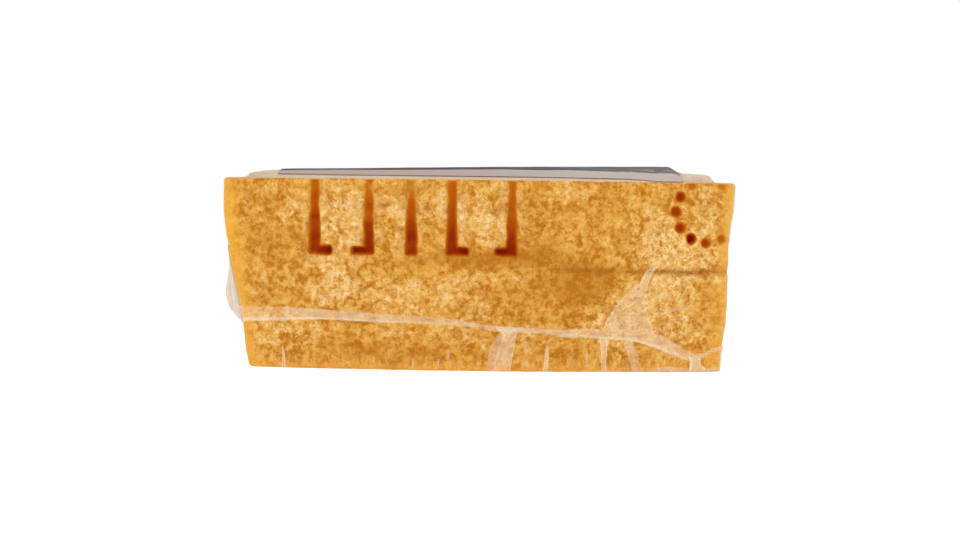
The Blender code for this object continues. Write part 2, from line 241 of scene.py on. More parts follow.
def wedge_shell(spans, corner_spans, levels, top_steps, base_steps):
    """Rings of points from the middle of the top, over the edge, down the wall and under the base."""
    lines = columns(spans, corner_spans)
    edge = wall_points(lines, np.full((len(lines), 1), RIND_HEIGHT), -UPPER_ROUND)[:, 0]
    top = upper_z(edge[:, 0], edge[:, 1])
    rings = []
    centre = np.array([0, FRONT_Y + WEDGE_LENGTH * 0.42, 0])
    for shrink in np.linspace(1, 0, top_steps + 1)[1:-1] ** 1.7:
        ring = edge + (centre - edge) * (shrink * 0.985)
        ring[:, 2] = upper_z(ring[:, 0], ring[:, 1])
        rings.append(ring)
    for k in range(5):
        angle = math.pi / 2 * k / 4
        inset = UPPER_ROUND * (1 - math.sin(angle))
        ring = wall_points(lines, np.full((len(lines), 1), RIND_HEIGHT), -inset)[:, 0]
        ring[:, 2] = top - UPPER_ROUND * (1 - math.cos(angle))
        rings.append(ring)
    share = np.linspace(1, 0, levels + 1)[1:]
    heights = LOWER_ROUND + share[None, :] * (top[:, None] - UPPER_ROUND - LOWER_ROUND)
    wall = wall_points(lines, heights, 0.0)
    rings += [wall[:, k] for k in range(levels)]
    for k in range(1, 4):
        angle = math.pi / 2 * k / 3
        inset = LOWER_ROUND * (1 - math.cos(angle))
        z = LOWER_ROUND * (1 - math.sin(angle))
        rings.append(wall_points(lines, np.full((len(lines), 1), z), -inset)[:, 0])
    rim = rings[-1]
    for shrink in np.linspace(0, 1, base_steps + 1)[1:] ** 1.7:
        ring = rim + (centre - rim) * (shrink * 0.985)
        ring[:, 2] = 0
        rings.append(ring)
    return np.array(rings)


def wall_points(lines, heights, outward):
    """Points (line, level) of the wall, moved outward by a distance."""
    flat = np.array([plan(line, z) for line, z in zip(lines, heights)])
    if outward:
        way = np.roll(flat, -1, axis=0) - np.roll(flat, 1, axis=0)
        way /= np.linalg.norm(way, axis=-1, keepdims=True)
        flat = flat + np.stack([way[..., 1], -way[..., 0]], -1) * outward
    return np.concatenate([flat, heights[..., None]], -1)


def shell_normals(rings):
    down = np.gradient(rings, axis=0)
    round_ = np.roll(rings, -1, axis=1) - np.roll(rings, 1, axis=1)
    normal = np.cross(down, round_)
    return normal / np.maximum(np.linalg.norm(normal, axis=-1, keepdims=True), 1e-12)


def shell_faces(ring_count, line_count):
    """Quads between the rings, with a fan over the middle of the top and of the base."""
    r, c = np.meshgrid(np.arange(ring_count - 1), np.arange(line_count), indexing="ij")
    after = (c + 1) % line_count
    quads = np.stack([r * line_count + c, (r + 1) * line_count + c], -1)
    quads = np.concatenate([quads, np.stack([(r + 1) * line_count + after, r * line_count + after], -1)], -1)
    faces = quads.reshape(-1, 4).tolist()
    top, base = ring_count * line_count, ring_count * line_count + 1
    last = (ring_count - 1) * line_count
    for k in range(line_count):
        following = (k + 1) % line_count
        faces.append((top, k, following))
        faces.append((base, last + following, last + k))
    return faces


# ---------------------------------------------------------------- making pieces


def make_piece(name, points, faces, materials, slot, attributes=None, uv=None):
    mesh = bpy.data.meshes.new(name)
    mesh.from_pydata(np.asarray(points).reshape(-1, 3).tolist(), [], faces)
    mesh.validate()
    for title, values in (attributes or {}).items():
        mesh.attributes.new(title, "FLOAT", "POINT").data.foreach_set(
            "value", np.asarray(values, np.float32).ravel()
        )
    if uv is not None:
        corners = np.empty(len(mesh.loops), np.int32)
        mesh.loops.foreach_get("vertex_index", corners)
        layer = mesh.uv_layers.new(name="lay")
        layer.data.foreach_set("uv", np.asarray(uv, np.float32).reshape(-1, 2)[corners].ravel())
    mesh.shade_smooth()
    for material in materials:
        mesh.materials.append(material)
    piece = bpy.data.objects.new(name, mesh)
    bpy.context.scene.collection.objects.link(piece)
    # Thin film scatters light but hardly holds it back
    piece.visible_shadow = slot != "film"
    piece.visible_diffuse = slot != "film"
    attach(piece, "root")
    return piece


def grid_faces(rows, across, start=0, flip=False):
    faces = []
    for r in range(rows - 1):
        for c in range(across - 1):
            a = start + r * across + c
            face = (a, a + 1, a + across + 1, a + across)
            faces.append(face[::-1] if flip else face)
    return faces


def sheet_mesh(outer, thickness, normals):
    """A closed thin sheet: its outer side is a grid of points (rows, across, 3)."""
    rows, across = outer.shape[:2]
    inner = outer - normals * thickness
    count = rows * across
    faces = grid_faces(rows, across) + grid_faces(rows, across, count, flip=True)
    rim = [k for k in range(across - 1)]
    rim += [r * across + across - 1 for r in range(rows - 1)]
    rim += [(rows - 1) * across + k for k in range(across - 1, 0, -1)]
    rim += [r * across for r in range(rows - 1, 0, -1)]
    for a, b in zip(rim, rim[1:] + rim[:1]):
        faces.append((b, a, a + count, b + count))
    return np.concatenate([outer.reshape(-1, 3), inner.reshape(-1, 3)]), faces


# ---------------------------------------------------------------- stamped marks in the rind


def bar_field(x, z, left, right, low, high, corner):
    """How far outside a rounded bar a place lies, negative inside."""
    dx = np.abs(x - (left + right) / 2) - (right - left) / 2 + corner
    dz = np.abs(z - (low + high) / 2) - (high - low) / 2 + corner
    outside = np.hypot(np.maximum(dx, 0), np.maximum(dz, 0))
    return outside + np.minimum(np.maximum(dx, dz), 0) - corner


def stroke_field(x, z, centre, foot):
    up = smooth(STROKE_FLOOR, RIND_HEIGHT, z)
    half = STROKE_HALF[0] + (STROKE_HALF[1] - STROKE_HALF[0]) * up
    top = RIND_HEIGHT + 9 * MM
    field = bar_field(x, z, centre - half, centre + half, STROKE_FLOOR, top, 0.7 * MM)
    if foot:
        near, far = centre - foot * STROKE_HALF[0], centre + foot * (STROKE_FOOT - STROKE_HALF[0])
        low, high = STROKE_FLOOR, STROKE_FLOOR + FOOT_HEIGHT
        base = bar_field(x, z, min(near, far), max(near, far), low, high, 0.9 * MM)
        field = np.minimum(field, base)
    return field


def stamped(x, z):
    """Depth and darkness of the stamped marks, and the pale lip round them, at places on the rind. The darkness is
    partly the marks' own brown and partly painted shade, deepest where the marks are deepest.
    """
    flat = np.stack([x, z, z * 0], -1)
    wobble = grain(flat, 1.3 * MM, 5) * 0.13 * MM + grain(flat, 4 * MM, 6) * 0.2 * MM
    marks = [(BAR_AT, 0, 0.2)]
    for left, width in BRACKETS:
        marks += [(left, 1, 0.36), (left + width - 2 * STROKE_HALF[0], -1, 0.3)]
    up = smooth(STROKE_FLOOR, RIND_HEIGHT, z)
    down = 1 - smooth(STROKE_FLOOR + 1 * MM, RIND_HEIGHT - 1 * MM, z)
    depth, dark, nearest = np.zeros(x.shape), np.zeros(x.shape), np.full(x.shape, 1.0)
    blots = grain(flat, 2.6 * MM, 12) * 0.13 + grain(flat, 1.1 * MM, 14) * 0.06
    for centre, foot, light_end in marks:
        field = stroke_field(x, z, centre, foot) + wobble
        nearest = np.minimum(nearest, field)
        share = 1 - smooth(-0.5 * MM, 0.3 * MM, field)
        depth = np.maximum(depth, share * (STROKE_DEPTH[0] + (STROKE_DEPTH[1] - STROKE_DEPTH[0]) * up))
        # Painted shade: darker lower down and towards the foot, where the marks are deepest
        tone = light_end + (0.74 - light_end) * down**1.2 + blots
        if foot:
            tone = tone + 0.3 * smooth(-1 * MM, 4 * MM, (x - centre) * foot) * (1 - smooth(0.4, 1, (z - STROKE_FLOOR) / (3 * MM)))
        tone = np.clip(tone, 0.1, 1)
        dark = np.maximum(dark, (1 - smooth(-0.95 * MM, 0.5 * MM, field)) * tone)
    for turn, deep, tone in DOTS:
        angle = math.radians(turn)
        dx = x - DOT_RING_CENTRE[0] - DOT_RING_RADIUS * math.cos(angle)
        dz = z - DOT_RING_CENTRE[1] - DOT_RING_RADIUS * math.sin(angle)
        away = (np.hypot(dx, dz) + wobble * 1.5) / DOT_RADIUS
        depth = np.maximum(depth, deep * MM * (1 - smooth(0.35, 1.1, away)))
        dark = np.maximum(dark, tone * (1 - smooth(0.3, 1.3, away)))
    lip = bell(nearest, 1.2 * MM, 0.75 * MM) * smooth(-0.5, 0.4, grain(flat, 2.2 * MM, 15))
    return depth, dark, lip


# Where the film lifts off the rind and leaves it chalky: (x, z, width, height, strength)
CHALKY = [
    (-36.5, 41, 5, 8, 0.9), (-22, 42, 4, 8, 0.5), (-12.5, 45, 3, 6, 0.4), (1, 40, 5.5, 8, 0.85),
    (24, 46, 9, 5, 0.35), (28, 38, 8, 6, 0.5), (49, 36, 8, 7, 0.8), (56, 30, 9, 5, 1.0),
    (50, 22, 9, 5, 0.8), (-49, 42, 5, 4, 0.6), (-36, 24, 6, 4, 0.8), (-41, 21, 5, 3, 0.6),
    (-21, 20, 10, 5, 0.65), (-6, 21, 8, 5, 0.5), (1, 17, 7, 4, 0.5), (38, 15, 9, 5, 0.8),
    (-61, 20, 4, 4, 0.3), (-49, 12, 9, 3, 0.4), (-6, 9, 6, 4, 0.5), (14, 9, 6, 4, 0.5),
    (-12, 23.3, 6, 2, 0.4), (2, 25, 8, 2, 0.5), (-52, 8, 12, 5, 0.3), (35, 8, 6, 4, 0.5), (52, 11, 10, 4, 0.5), (62, 42, 4, 5, 0.5), (-20, 10, 10, 3, 0.4),
]
# Where the film lies wet on the rind and leaves it plain amber
WET = [
    (-63, 40, 6, 10, 0.2), (-48, 36, 5, 4, 0.45), (-21, 29, 8, 2.5, 0.4), (0, 31, 13, 3, 0.9),
    (30, 26, 7, 4, 0.9), (28, 21, 6, 4, 0.7), (33, 43, 7, 4, 0.3), (-32, 5, 10, 4, 0.55),
    (-12, 5, 9, 3, 0.6), (4, 4, 6, 3, 0.3), (-57, 34, 6, 5, 0.4), (18, 32, 7, 4, 0.5),
    (62, 20, 4, 8, 0.3), (5, 22, 24, 7, 0.45), (26, 40, 14, 8, 0.32), (22, 5, 6, 3, 0.5), (-18, 47, 5, 3, 0.4), (14, 47, 3, 4, 0.5),
]


def chalkiness(x, z):
    total = np.full(x.shape, 0.42)
    for sign, places in ((1, CHALKY), (-1, WET)):
        for px, pz, width, height, strength in places:
            spread = bell(x, px * MM, width * MM) * bell(z, pz * MM, height * MM)
            total = total + sign * 0.5 * strength * spread
    return np.clip(total, 0, 1)


def sheen_streaks(x, z):
    """Where short upright streaks show, above the lower edge and under the upper one."""
    low = 1 - smooth(2.5 * MM, 6.5 * MM, z + 1.5 * MM * grain(np.stack([x, z, z * 0], -1), 5 * MM, 71))
    high = smooth(RIND_HEIGHT - 5 * MM, RIND_HEIGHT - 1.5 * MM, z) * 0.7
    return np.maximum(low, high)


# ---------------------------------------------------------------- finishes


def colour(red, green, blue):
    """A colour given as it looks, from 0 to 255."""
    def part(value):
        value = value / 255
        return value / 12.92 if value <= 0.04045 else ((value + 0.055) / 1.055) ** 2.4
    return (part(red), part(green), part(blue), 1.0)


class Finish:
    """A material, or a shared effect, being put together from nodes."""

    def __init__(self, tree):
        self.tree = tree

    def put(self, kind, settings=None, **inputs):
        made = self.tree.nodes.new(kind)
        for key, value in (settings or {}).items():
            setattr(made, key, value)
        for key, value in inputs.items():
            self.feed(made.inputs[key.replace("_", " ")], value)
        return made

    def feed(self, socket, value):
        if isinstance(value, bpy.types.NodeSocket):
            self.tree.links.new(value, socket)
        else:
            socket.default_value = value

    def maths(self, operation, first, second=0.0, third=0.0):
        made = self.tree.nodes.new("ShaderNodeMath")
        made.operation = operation
        for socket, value in zip(made.inputs, (first, second, third)):
            self.feed(socket, value)
        return made.outputs[0]

    def vector(self, operation, first, second=(0, 0, 0), scale=None):
        made = self.tree.nodes.new("ShaderNodeVectorMath")
        made.operation = operation
        self.feed(made.inputs[0], first)
        self.feed(made.inputs[1], second)
        if scale is not None:
            self.feed(made.inputs["Scale"], scale)
        return made.outputs[0]

    def step(self, value, low, high, start=0.0, end=1.0):
        made = self.put("ShaderNodeMapRange", {"interpolation_type": "SMOOTHSTEP"})
        for socket, item in zip(made.inputs, (value, low, high, start, end)):
            self.feed(socket, item)
        return made.outputs[0]

    def mix(self, share, first, second, blend="MIX"):
        made = self.tree.nodes.new("ShaderNodeMix")
        made.data_type = "RGBA"
        made.blend_type = blend
        for socket, value in zip((made.inputs[0], made.inputs[6], made.inputs[7]), (share, first, second)):
            self.feed(socket, value)
        return made.outputs[2]

    def noise(self, at, scale, detail=2.0, rough=0.5, distortion=0.0):
        made = self.put(
            "ShaderNodeTexNoise", Vector=at, Scale=scale, Detail=detail, Roughness=rough, Distortion=distortion
        )
        return made.outputs["Fac"]

    def cells(self, at, scale, feature="F1", randomness=1.0):
        made = self.put("ShaderNodeTexVoronoi", {"feature": feature}, Vector=at, Scale=scale, Randomness=randomness)
        return made.outputs["Distance"]

    def attribute(self, name):
        return self.put("ShaderNodeAttribute", {"attribute_name": name}).outputs["Fac"]

    def millimetres(self):
        place = self.put("ShaderNodeTexCoord").outputs["Object"]
        return self.vector("SCALE", place, scale=1000.0)

    def split(self, vector):
        made = self.put("ShaderNodeSeparateXYZ")
        self.feed(made.inputs[0], vector)
        return made.outputs[0], made.outputs[1], made.outputs[2]

    def join(self, x, y, z):
        made = self.put("ShaderNodeCombineXYZ")
        for socket, value in zip(made.inputs, (x, y, z)):
            self.feed(socket, value)
        return made.outputs[0]

    def place(self, group, **inputs):
        made = self.tree.nodes.new("ShaderNodeGroup")
        made.node_tree = group
        for key, value in inputs.items():
            self.feed(made.inputs[key.replace("_", " ")], value)
        return made.outputs


def start_material(name):
    material = bpy.data.materials.new(name)
    material.use_nodes = True
    shader = material.node_tree.nodes["Principled BSDF"]
    return material, Finish(material.node_tree), shader


def start_group(name, inputs, outputs):
    group = bpy.data.node_groups.new(name, "ShaderNodeTree")
    for title, kind, value in inputs:
        socket = group.interface.new_socket(title, in_out="INPUT", socket_type=kind)
        if value is not None:
            socket.default_value = value
    for title, kind in outputs:
        group.interface.new_socket(title, in_out="OUTPUT", socket_type=kind)
    finish = Finish(group)
    return group, finish, finish.put("NodeGroupInput").outputs, finish.put("NodeGroupOutput").inputs


def crumb_group():
    """Small uneven relief that the rind and the cut faces share."""
    group, f, given, out = start_group(
        "crumb relief",
        [("Place", "NodeSocketVector", None), ("Size", "NodeSocketFloat", 1.0)],
        [("Relief", "NodeSocketFloat")],
    )
    at = f.vector("SCALE", given["Place"], scale=f.maths("DIVIDE", 1.0, given["Size"]))
    coarse = f.noise(at, 0.35, 2.0, 0.55)
    fine = f.noise(at, 1.2, 1.5, 0.5)
    f.feed(out["Relief"], f.maths("ADD", coarse, f.maths("MULTIPLY", fine, 0.35)))
    return group


def mottling_group():
    """Clouds with curdled edges: Depth passes 0.5 at a cloud's edge, Cloud is 1 inside it."""
    group, f, given, out = start_group(
        "mottling",
        [
            ("Place", "NodeSocketVector", None), ("Cloud size", "NodeSocketFloat", 3.0),
            ("Bias", "NodeSocketFloat", 0.0), ("Softness", "NodeSocketFloat", 0.06),
        ],
        [("Cloud", "NodeSocketFloat"), ("Depth", "NodeSocketFloat")],
    )
    at = f.vector("SCALE", given["Place"], scale=f.maths("DIVIDE", 1.0, given["Cloud size"]))
    bend = f.put("ShaderNodeTexNoise", Vector=at, Scale=1.6, Detail=2.0, Roughness=0.5).outputs["Color"]
    at = f.vector("ADD", at, f.vector("SCALE", f.vector("SUBTRACT", bend, (0.5, 0.5, 0.5)), scale=0.9))
    large = f.noise(at, 1.0, 2.0, 0.5)
    small = f.noise(f.vector("ADD", at, (17.0, 5.0, 9.0)), 2.3, 2.0, 0.5)
    depth = f.maths("MULTIPLY_ADD", large, 0.62, f.maths("MULTIPLY", small, 0.38))
    depth = f.maths("ADD", depth, given["Bias"])
    low = f.maths("SUBTRACT", 0.5, given["Softness"])
    high = f.maths("ADD", 0.5, given["Softness"])
    f.feed(out["Cloud"], f.step(depth, low, high))
    f.feed(out["Depth"], depth)
    return group


def thread_group():
    """Fine curling threads, from 0 to 1, and the gaps between them."""
    group, f, given, out = start_group(
        "curling threads",
        [
            ("Place", "NodeSocketVector", None), ("Scale", "NodeSocketFloat", 0.8),
            ("Width", "NodeSocketFloat", 0.04),
        ],
        [("Thread", "NodeSocketFloat"), ("Gap", "NodeSocketFloat")],
    )
    bend = f.put("ShaderNodeTexNoise", Vector=given["Place"], Scale=0.5, Detail=1.0, Roughness=0.5).outputs["Color"]
    at = f.vector("SCALE", f.vector("SUBTRACT", bend, (0.5, 0.5, 0.5)), scale=3.0)
    curl = f.noise(f.vector("ADD", given["Place"], at), given["Scale"], 1.5, 0.5, 0.4)
    off = f.maths("ABSOLUTE", f.maths("SUBTRACT", curl, 0.5))
    f.feed(out["Thread"], f.step(off, 0.0, given["Width"], 1.0, 0.0))
    f.feed(out["Gap"], f.step(off, f.maths("MULTIPLY", given["Width"], 1.5), f.maths("MULTIPLY", given["Width"], 3.5)))
    return group


def rind_and_paste(crumb, mottling, threads):
    material, f, shader = start_material("rind and paste")
    at = f.millimetres()
    x, y, z = f.split(at)
    chalk = f.attribute("chalk")

    # Rind: amber, with butter-coloured clouds where the film lifts off
    bias = f.maths("MULTIPLY_ADD", chalk, 0.07, -0.035)
    clouds = f.place(mottling, Place=at, Cloud_size=3.0, Bias=bias, Softness=0.055)
    tiny = f.place(mottling, Place=f.vector("ADD", at, (40.0, 3.0, 8.0)), Cloud_size=1.5, Bias=bias, Softness=0.06)
    tone = f.step(f.noise(at, 0.1, 2.0, 0.5), 0.36, 0.64)
    amber = f.mix(tone, colour(184, 114, 21), colour(203, 134, 36))
    rind = f.mix(f.step(clouds["Depth"], 0.46, 0.38), amber, colour(182, 107, 10))
    rind = f.mix(f.maths("MULTIPLY", clouds["Cloud"], 0.78), rind, colour(225, 167, 72))
    rind = f.mix(f.maths("MULTIPLY", tiny["Cloud"], 0.45), rind, colour(234, 182, 92))
    rind = f.mix(f.maths("MULTIPLY", f.step(tiny["Depth"], 0.46, 0.38), 0.55), rind, colour(190, 117, 20))

    # Chalky curls on the clouds, with brown gaps between them
    open_ = f.step(f.maths("MULTIPLY_ADD", f.maths("SUBTRACT", clouds["Depth"], 0.5), 2.4, chalk), 0.42, 0.9)
    long = f.place(threads, Place=f.vector("ADD", at, (3.0, 60.0, 4.0)), Scale=0.42, Width=0.07)
    short = f.place(threads, Place=f.vector("ADD", at, (8.0, 2.0, 70.0)), Scale=0.8, Width=0.06)
    gaps = f.maths("MULTIPLY", long["Gap"], f.maths("MULTIPLY_ADD", short["Gap"], 0.6, 0.35))
    rind = f.mix(f.maths("MULTIPLY", gaps, open_), rind, colour(175, 101, 24))
    pale = f.maths("MAXIMUM", f.maths("MULTIPLY", long["Thread"], 0.95), f.maths("MULTIPLY", short["Thread"], 0.6))
    rind = f.mix(f.maths("MULTIPLY", pale, f.maths("MULTIPLY_ADD", open_, 0.82, 0.02)), rind, colour(246, 216, 156))

    # Plain wet amber where the film lies closest
    rind = f.mix(f.step(chalk, 0.36, 0.06, 0.0, 0.52), rind, colour(181, 113, 25))

    # Streaks along the lower and upper edges, the smooth border, the groove
    across = f.maths("MULTIPLY", x, 1.4)
    run = f.noise(f.join(across, f.maths("MULTIPLY", y, 1.4), f.maths("MULTIPLY", z, 0.16)), 1.0, 2.0, 0.5)
    streak = f.attribute("streak")
    bright, deep = f.step(run, 0.52, 0.66), f.step(run, 0.48, 0.36)
    rind = f.mix(f.maths("MULTIPLY", bright, f.maths("MULTIPLY", streak, 0.5)), rind, colour(240, 190, 98))
    rind = f.mix(f.maths("MULTIPLY", deep, f.maths("MULTIPLY", streak, 0.5)), rind, colour(198, 122, 14))
    rind = f.mix(f.maths("MULTIPLY", f.attribute("rim"), 0.78), rind, colour(236, 172, 62))
    # Darker along the shallow groove
    rind = f.mix(f.maths("MULTIPLY", f.attribute("groove_line"), f.step(tone, 0.0, 0.6, 0.6, 1.0)), rind, colour(150, 84, 8))
    lip = f.maths("MULTIPLY", f.attribute("lip"), f.maths("MULTIPLY_ADD", pale, 0.5, 0.35))
    rind = f.mix(lip, rind, colour(247, 220, 166))

    # Stamped marks: darker towards their deep end, partly their own brown and partly painted shade in the dents
    ramp = f.put("ShaderNodeValToRGB", Fac=f.attribute("stamp"))
    stops = [
        (0.0, (204, 132, 34)), (0.2, (194, 108, 12)), (0.45, (176, 78, 2)), (0.7, (152, 46, 0)), (1.0, (132, 8, 0)),
    ]
    for place, shade in stops[1:-1]:
        ramp.color_ramp.elements.new(place)
    for element, (place, shade) in zip(ramp.color_ramp.elements, stops):
        element.position = place
        element.color = colour(*shade)
    rind = f.mix(f.step(f.attribute("stamp"), 0.02, 0.26), rind, ramp.outputs["Color"])

    # Cut faces: straw-coloured grains, pale crystals, a little darker beside the rind
    behind = f.maths("MULTIPLY", f.attribute("behind"), 1000.0)
    grains = f.place(mottling, Place=at, Cloud_size=2.4, Bias=0.0, Softness=0.12)
    paste = f.mix(f.maths("MULTIPLY", grains["Cloud"], 0.8), colour(218, 184, 130), colour(232, 206, 158))
    patches = f.step(f.noise(at, 0.09, 2.0, 0.5), 0.4, 0.62)
    paste = f.mix(f.maths("MULTIPLY", patches, 0.5), paste, colour(222, 188, 126))
    flake = f.noise(f.vector("MULTIPLY", at, (1.0, 0.5, 1.6)), 0.22, 3.0, 0.6, 0.8)
    paste = f.mix(f.step(flake, 0.56, 0.7, 0.0, 0.55), paste, colour(204, 164, 104))
    crystal = f.step(f.cells(at, 0.33), 0.1, 0.2, 1.0, 0.0)
    paste = f.mix(f.maths("MULTIPLY", crystal, 0.7), paste, colour(248, 236, 210))
    ragged = f.maths("ADD", behind, f.maths("MULTIPLY", f.maths("SUBTRACT", clouds["Depth"], 0.5), 8.0))
    paste = f.mix(f.step(ragged, 1.0, 7.0, 0.5, 0.0), paste, colour(214, 166, 100))
    paste = f.mix(f.step(ragged, 0.0, 1.6, 0.6, 0.0), paste, colour(206, 146, 70))
    # Painted shade: the paste darker on the right of the top face, close to the rind
    paste = f.mix(f.maths("MULTIPLY", f.attribute("painted_shade"), 0.75), paste, colour(192, 154, 122))
    f.feed(shader.inputs["Base Color"], f.mix(f.step(behind, 0.5, 1.0), rind, paste))

    relief = f.maths("MULTIPLY_ADD", f.place(crumb, Place=at, Size=1.0)["Relief"], 0.3, tiny["Depth"])
    relief = f.maths("MULTIPLY_ADD", pale, f.maths("MULTIPLY", open_, 0.06), relief)
    bump = f.put("ShaderNodeBump", Height=relief, Strength=0.8, Distance=0.001)
    f.feed(shader.inputs["Normal"], bump.outputs[0])
    f.feed(shader.inputs["Roughness"], f.maths("MULTIPLY_ADD", grains["Cloud"], 0.12, 0.5))
    shader.inputs["Coat Weight"].default_value = 0.02
    shader.inputs["Coat Roughness"].default_value = 0.28
    shader.inputs["Specular IOR Level"].default_value = 0.03
    shader.inputs["Subsurface Weight"].default_value = 0.06
    shader.inputs["Subsurface Radius"].default_value = (0.004, 0.0016, 0.0004)
    shader.inputs["Subsurface Scale"].default_value = 1.0
    return material


def crease_group():
    """Fine creases of stretched film, running along the first direction."""
    group, f, given, out = start_group(
        "stretched creases",
        [("Place", "NodeSocketVector", None), ("Spacing", "NodeSocketFloat", 1.0), ("Stretch", "NodeSocketFloat", 8.0)],
        [("Crease", "NodeSocketFloat"), ("Relief", "NodeSocketFloat")],
    )
    x, y, z = f.split(given["Place"])
    x = f.maths("DIVIDE", x, f.maths("MULTIPLY", given["Spacing"], given["Stretch"]))
    y = f.maths("DIVIDE", y, given["Spacing"])
    at = f.join(x, y, f.maths("MULTIPLY", z, 0.1))
    wave = f.noise(at, 1.0, 2.0, 0.55, 0.3)
    line = f.step(f.maths("ABSOLUTE", f.maths("SUBTRACT", wave, 0.5)), 0.0, 0.07, 1.0, 0.0)
    f.feed(out["Crease"], line)
    f.feed(out["Relief"], wave)
    return group


def clear_film(creases):
    """The skin of film over the cheese: clear, but for creases and where it lies at a slant."""
    material, f, shader = start_material("clear film")
    x, y, z = f.split(f.millimetres())
    upright = f.place(creases, Place=f.join(z, x, y), Spacing=0.8, Stretch=9.0)
    slant = f.maths("ADD", z, f.maths("MULTIPLY", y, 0.6))
    slanting = f.place(creases, Place=f.join(x, slant, y), Spacing=2.2, Stretch=7.0)
    lines = f.maths("MULTIPLY", upright["Crease"], f.attribute("pulled"))
    lines = f.maths("ADD", lines, f.maths("MULTIPLY", slanting["Crease"], f.attribute("slack")))
    grazing = f.put("ShaderNodeLayerWeight", Blend=0.25).outputs["Facing"]
    # The film's haze, partly painted reflection and highlight
    haze_and_sheen = f.maths("ADD", f.maths("MULTIPLY", lines, 0.2), f.attribute("milky_and_sheen"))
    alpha = f.maths("ADD", haze_and_sheen, f.maths("MULTIPLY", f.maths("POWER", grazing, 3.0), 0.8))
    f.feed(shader.inputs["Alpha"], f.maths("MINIMUM", alpha, 0.9))
    shader.inputs["Base Color"].default_value = colour(210, 188, 171)
    shader.inputs["Roughness"].default_value = 0.2
    shader.inputs["Specular IOR Level"].default_value = 0.3
    bump = f.put("ShaderNodeBump", Height=upright["Relief"], Strength=0.3, Distance=0.0003)
    f.feed(shader.inputs["Normal"], bump.outputs[0])
    return material


def folded_film(creases, name, tint, thin, thick):
    """Film in several layers: milky, with brighter creases and fold lines."""
    material, f, shader = start_material(name)
    lay = f.put("ShaderNodeTexCoord").outputs["UV"]
    lay = f.vector("SCALE", lay, scale=1000.0)
    found = f.place(creases, Place=lay, Spacing=0.8, Stretch=16.0)
    wide = f.noise(lay, 0.3, 2.0, 0.5)
    bright = f.maths("MAXIMUM", f.maths("MULTIPLY", found["Crease"], 0.22), f.attribute("fold"))
    flat = f.maths("MULTIPLY", f.step(wide, 0.3, 0.7), 0.6)
    cloudy = f.maths("MULTIPLY_ADD", f.step(found["Relief"], 0.3, 0.7), 0.4, flat)
    alpha = f.maths("MULTIPLY_ADD", cloudy, thick - thin, thin)
    alpha = f.maths("MULTIPLY_ADD", bright, 0.34, alpha)
    alpha = f.maths("MULTIPLY", alpha, f.attribute("layers"))
    f.feed(shader.inputs["Alpha"], f.maths("MINIMUM", alpha, 0.93))
    f.feed(shader.inputs["Base Color"], f.mix(bright, tint, colour(252, 236, 214)))
    shader.inputs["Roughness"].default_value = 0.35
    shader.inputs["Specular IOR Level"].default_value = 0.2
    bump = f.put("ShaderNodeBump", Height=found["Relief"], Strength=0.1, Distance=0.0002)
    f.feed(shader.inputs["Normal"], bump.outputs[0])
    return material


def box_mask(f, u, v, low_u, high_u, low_v, high_v, soft=0.25):
    """1 inside a rectangle of the label, in millimetres."""
    inside = f.maths("MULTIPLY", f.step(u, low_u - soft, low_u + soft), f.step(u, high_u - soft, high_u + soft, 1.0, 0.0))
    across = f.maths("MULTIPLY", f.step(v, low_v - soft, low_v + soft), f.step(v, high_v - soft, high_v + soft, 1.0, 0.0))
    return f.maths("MULTIPLY", inside, across)


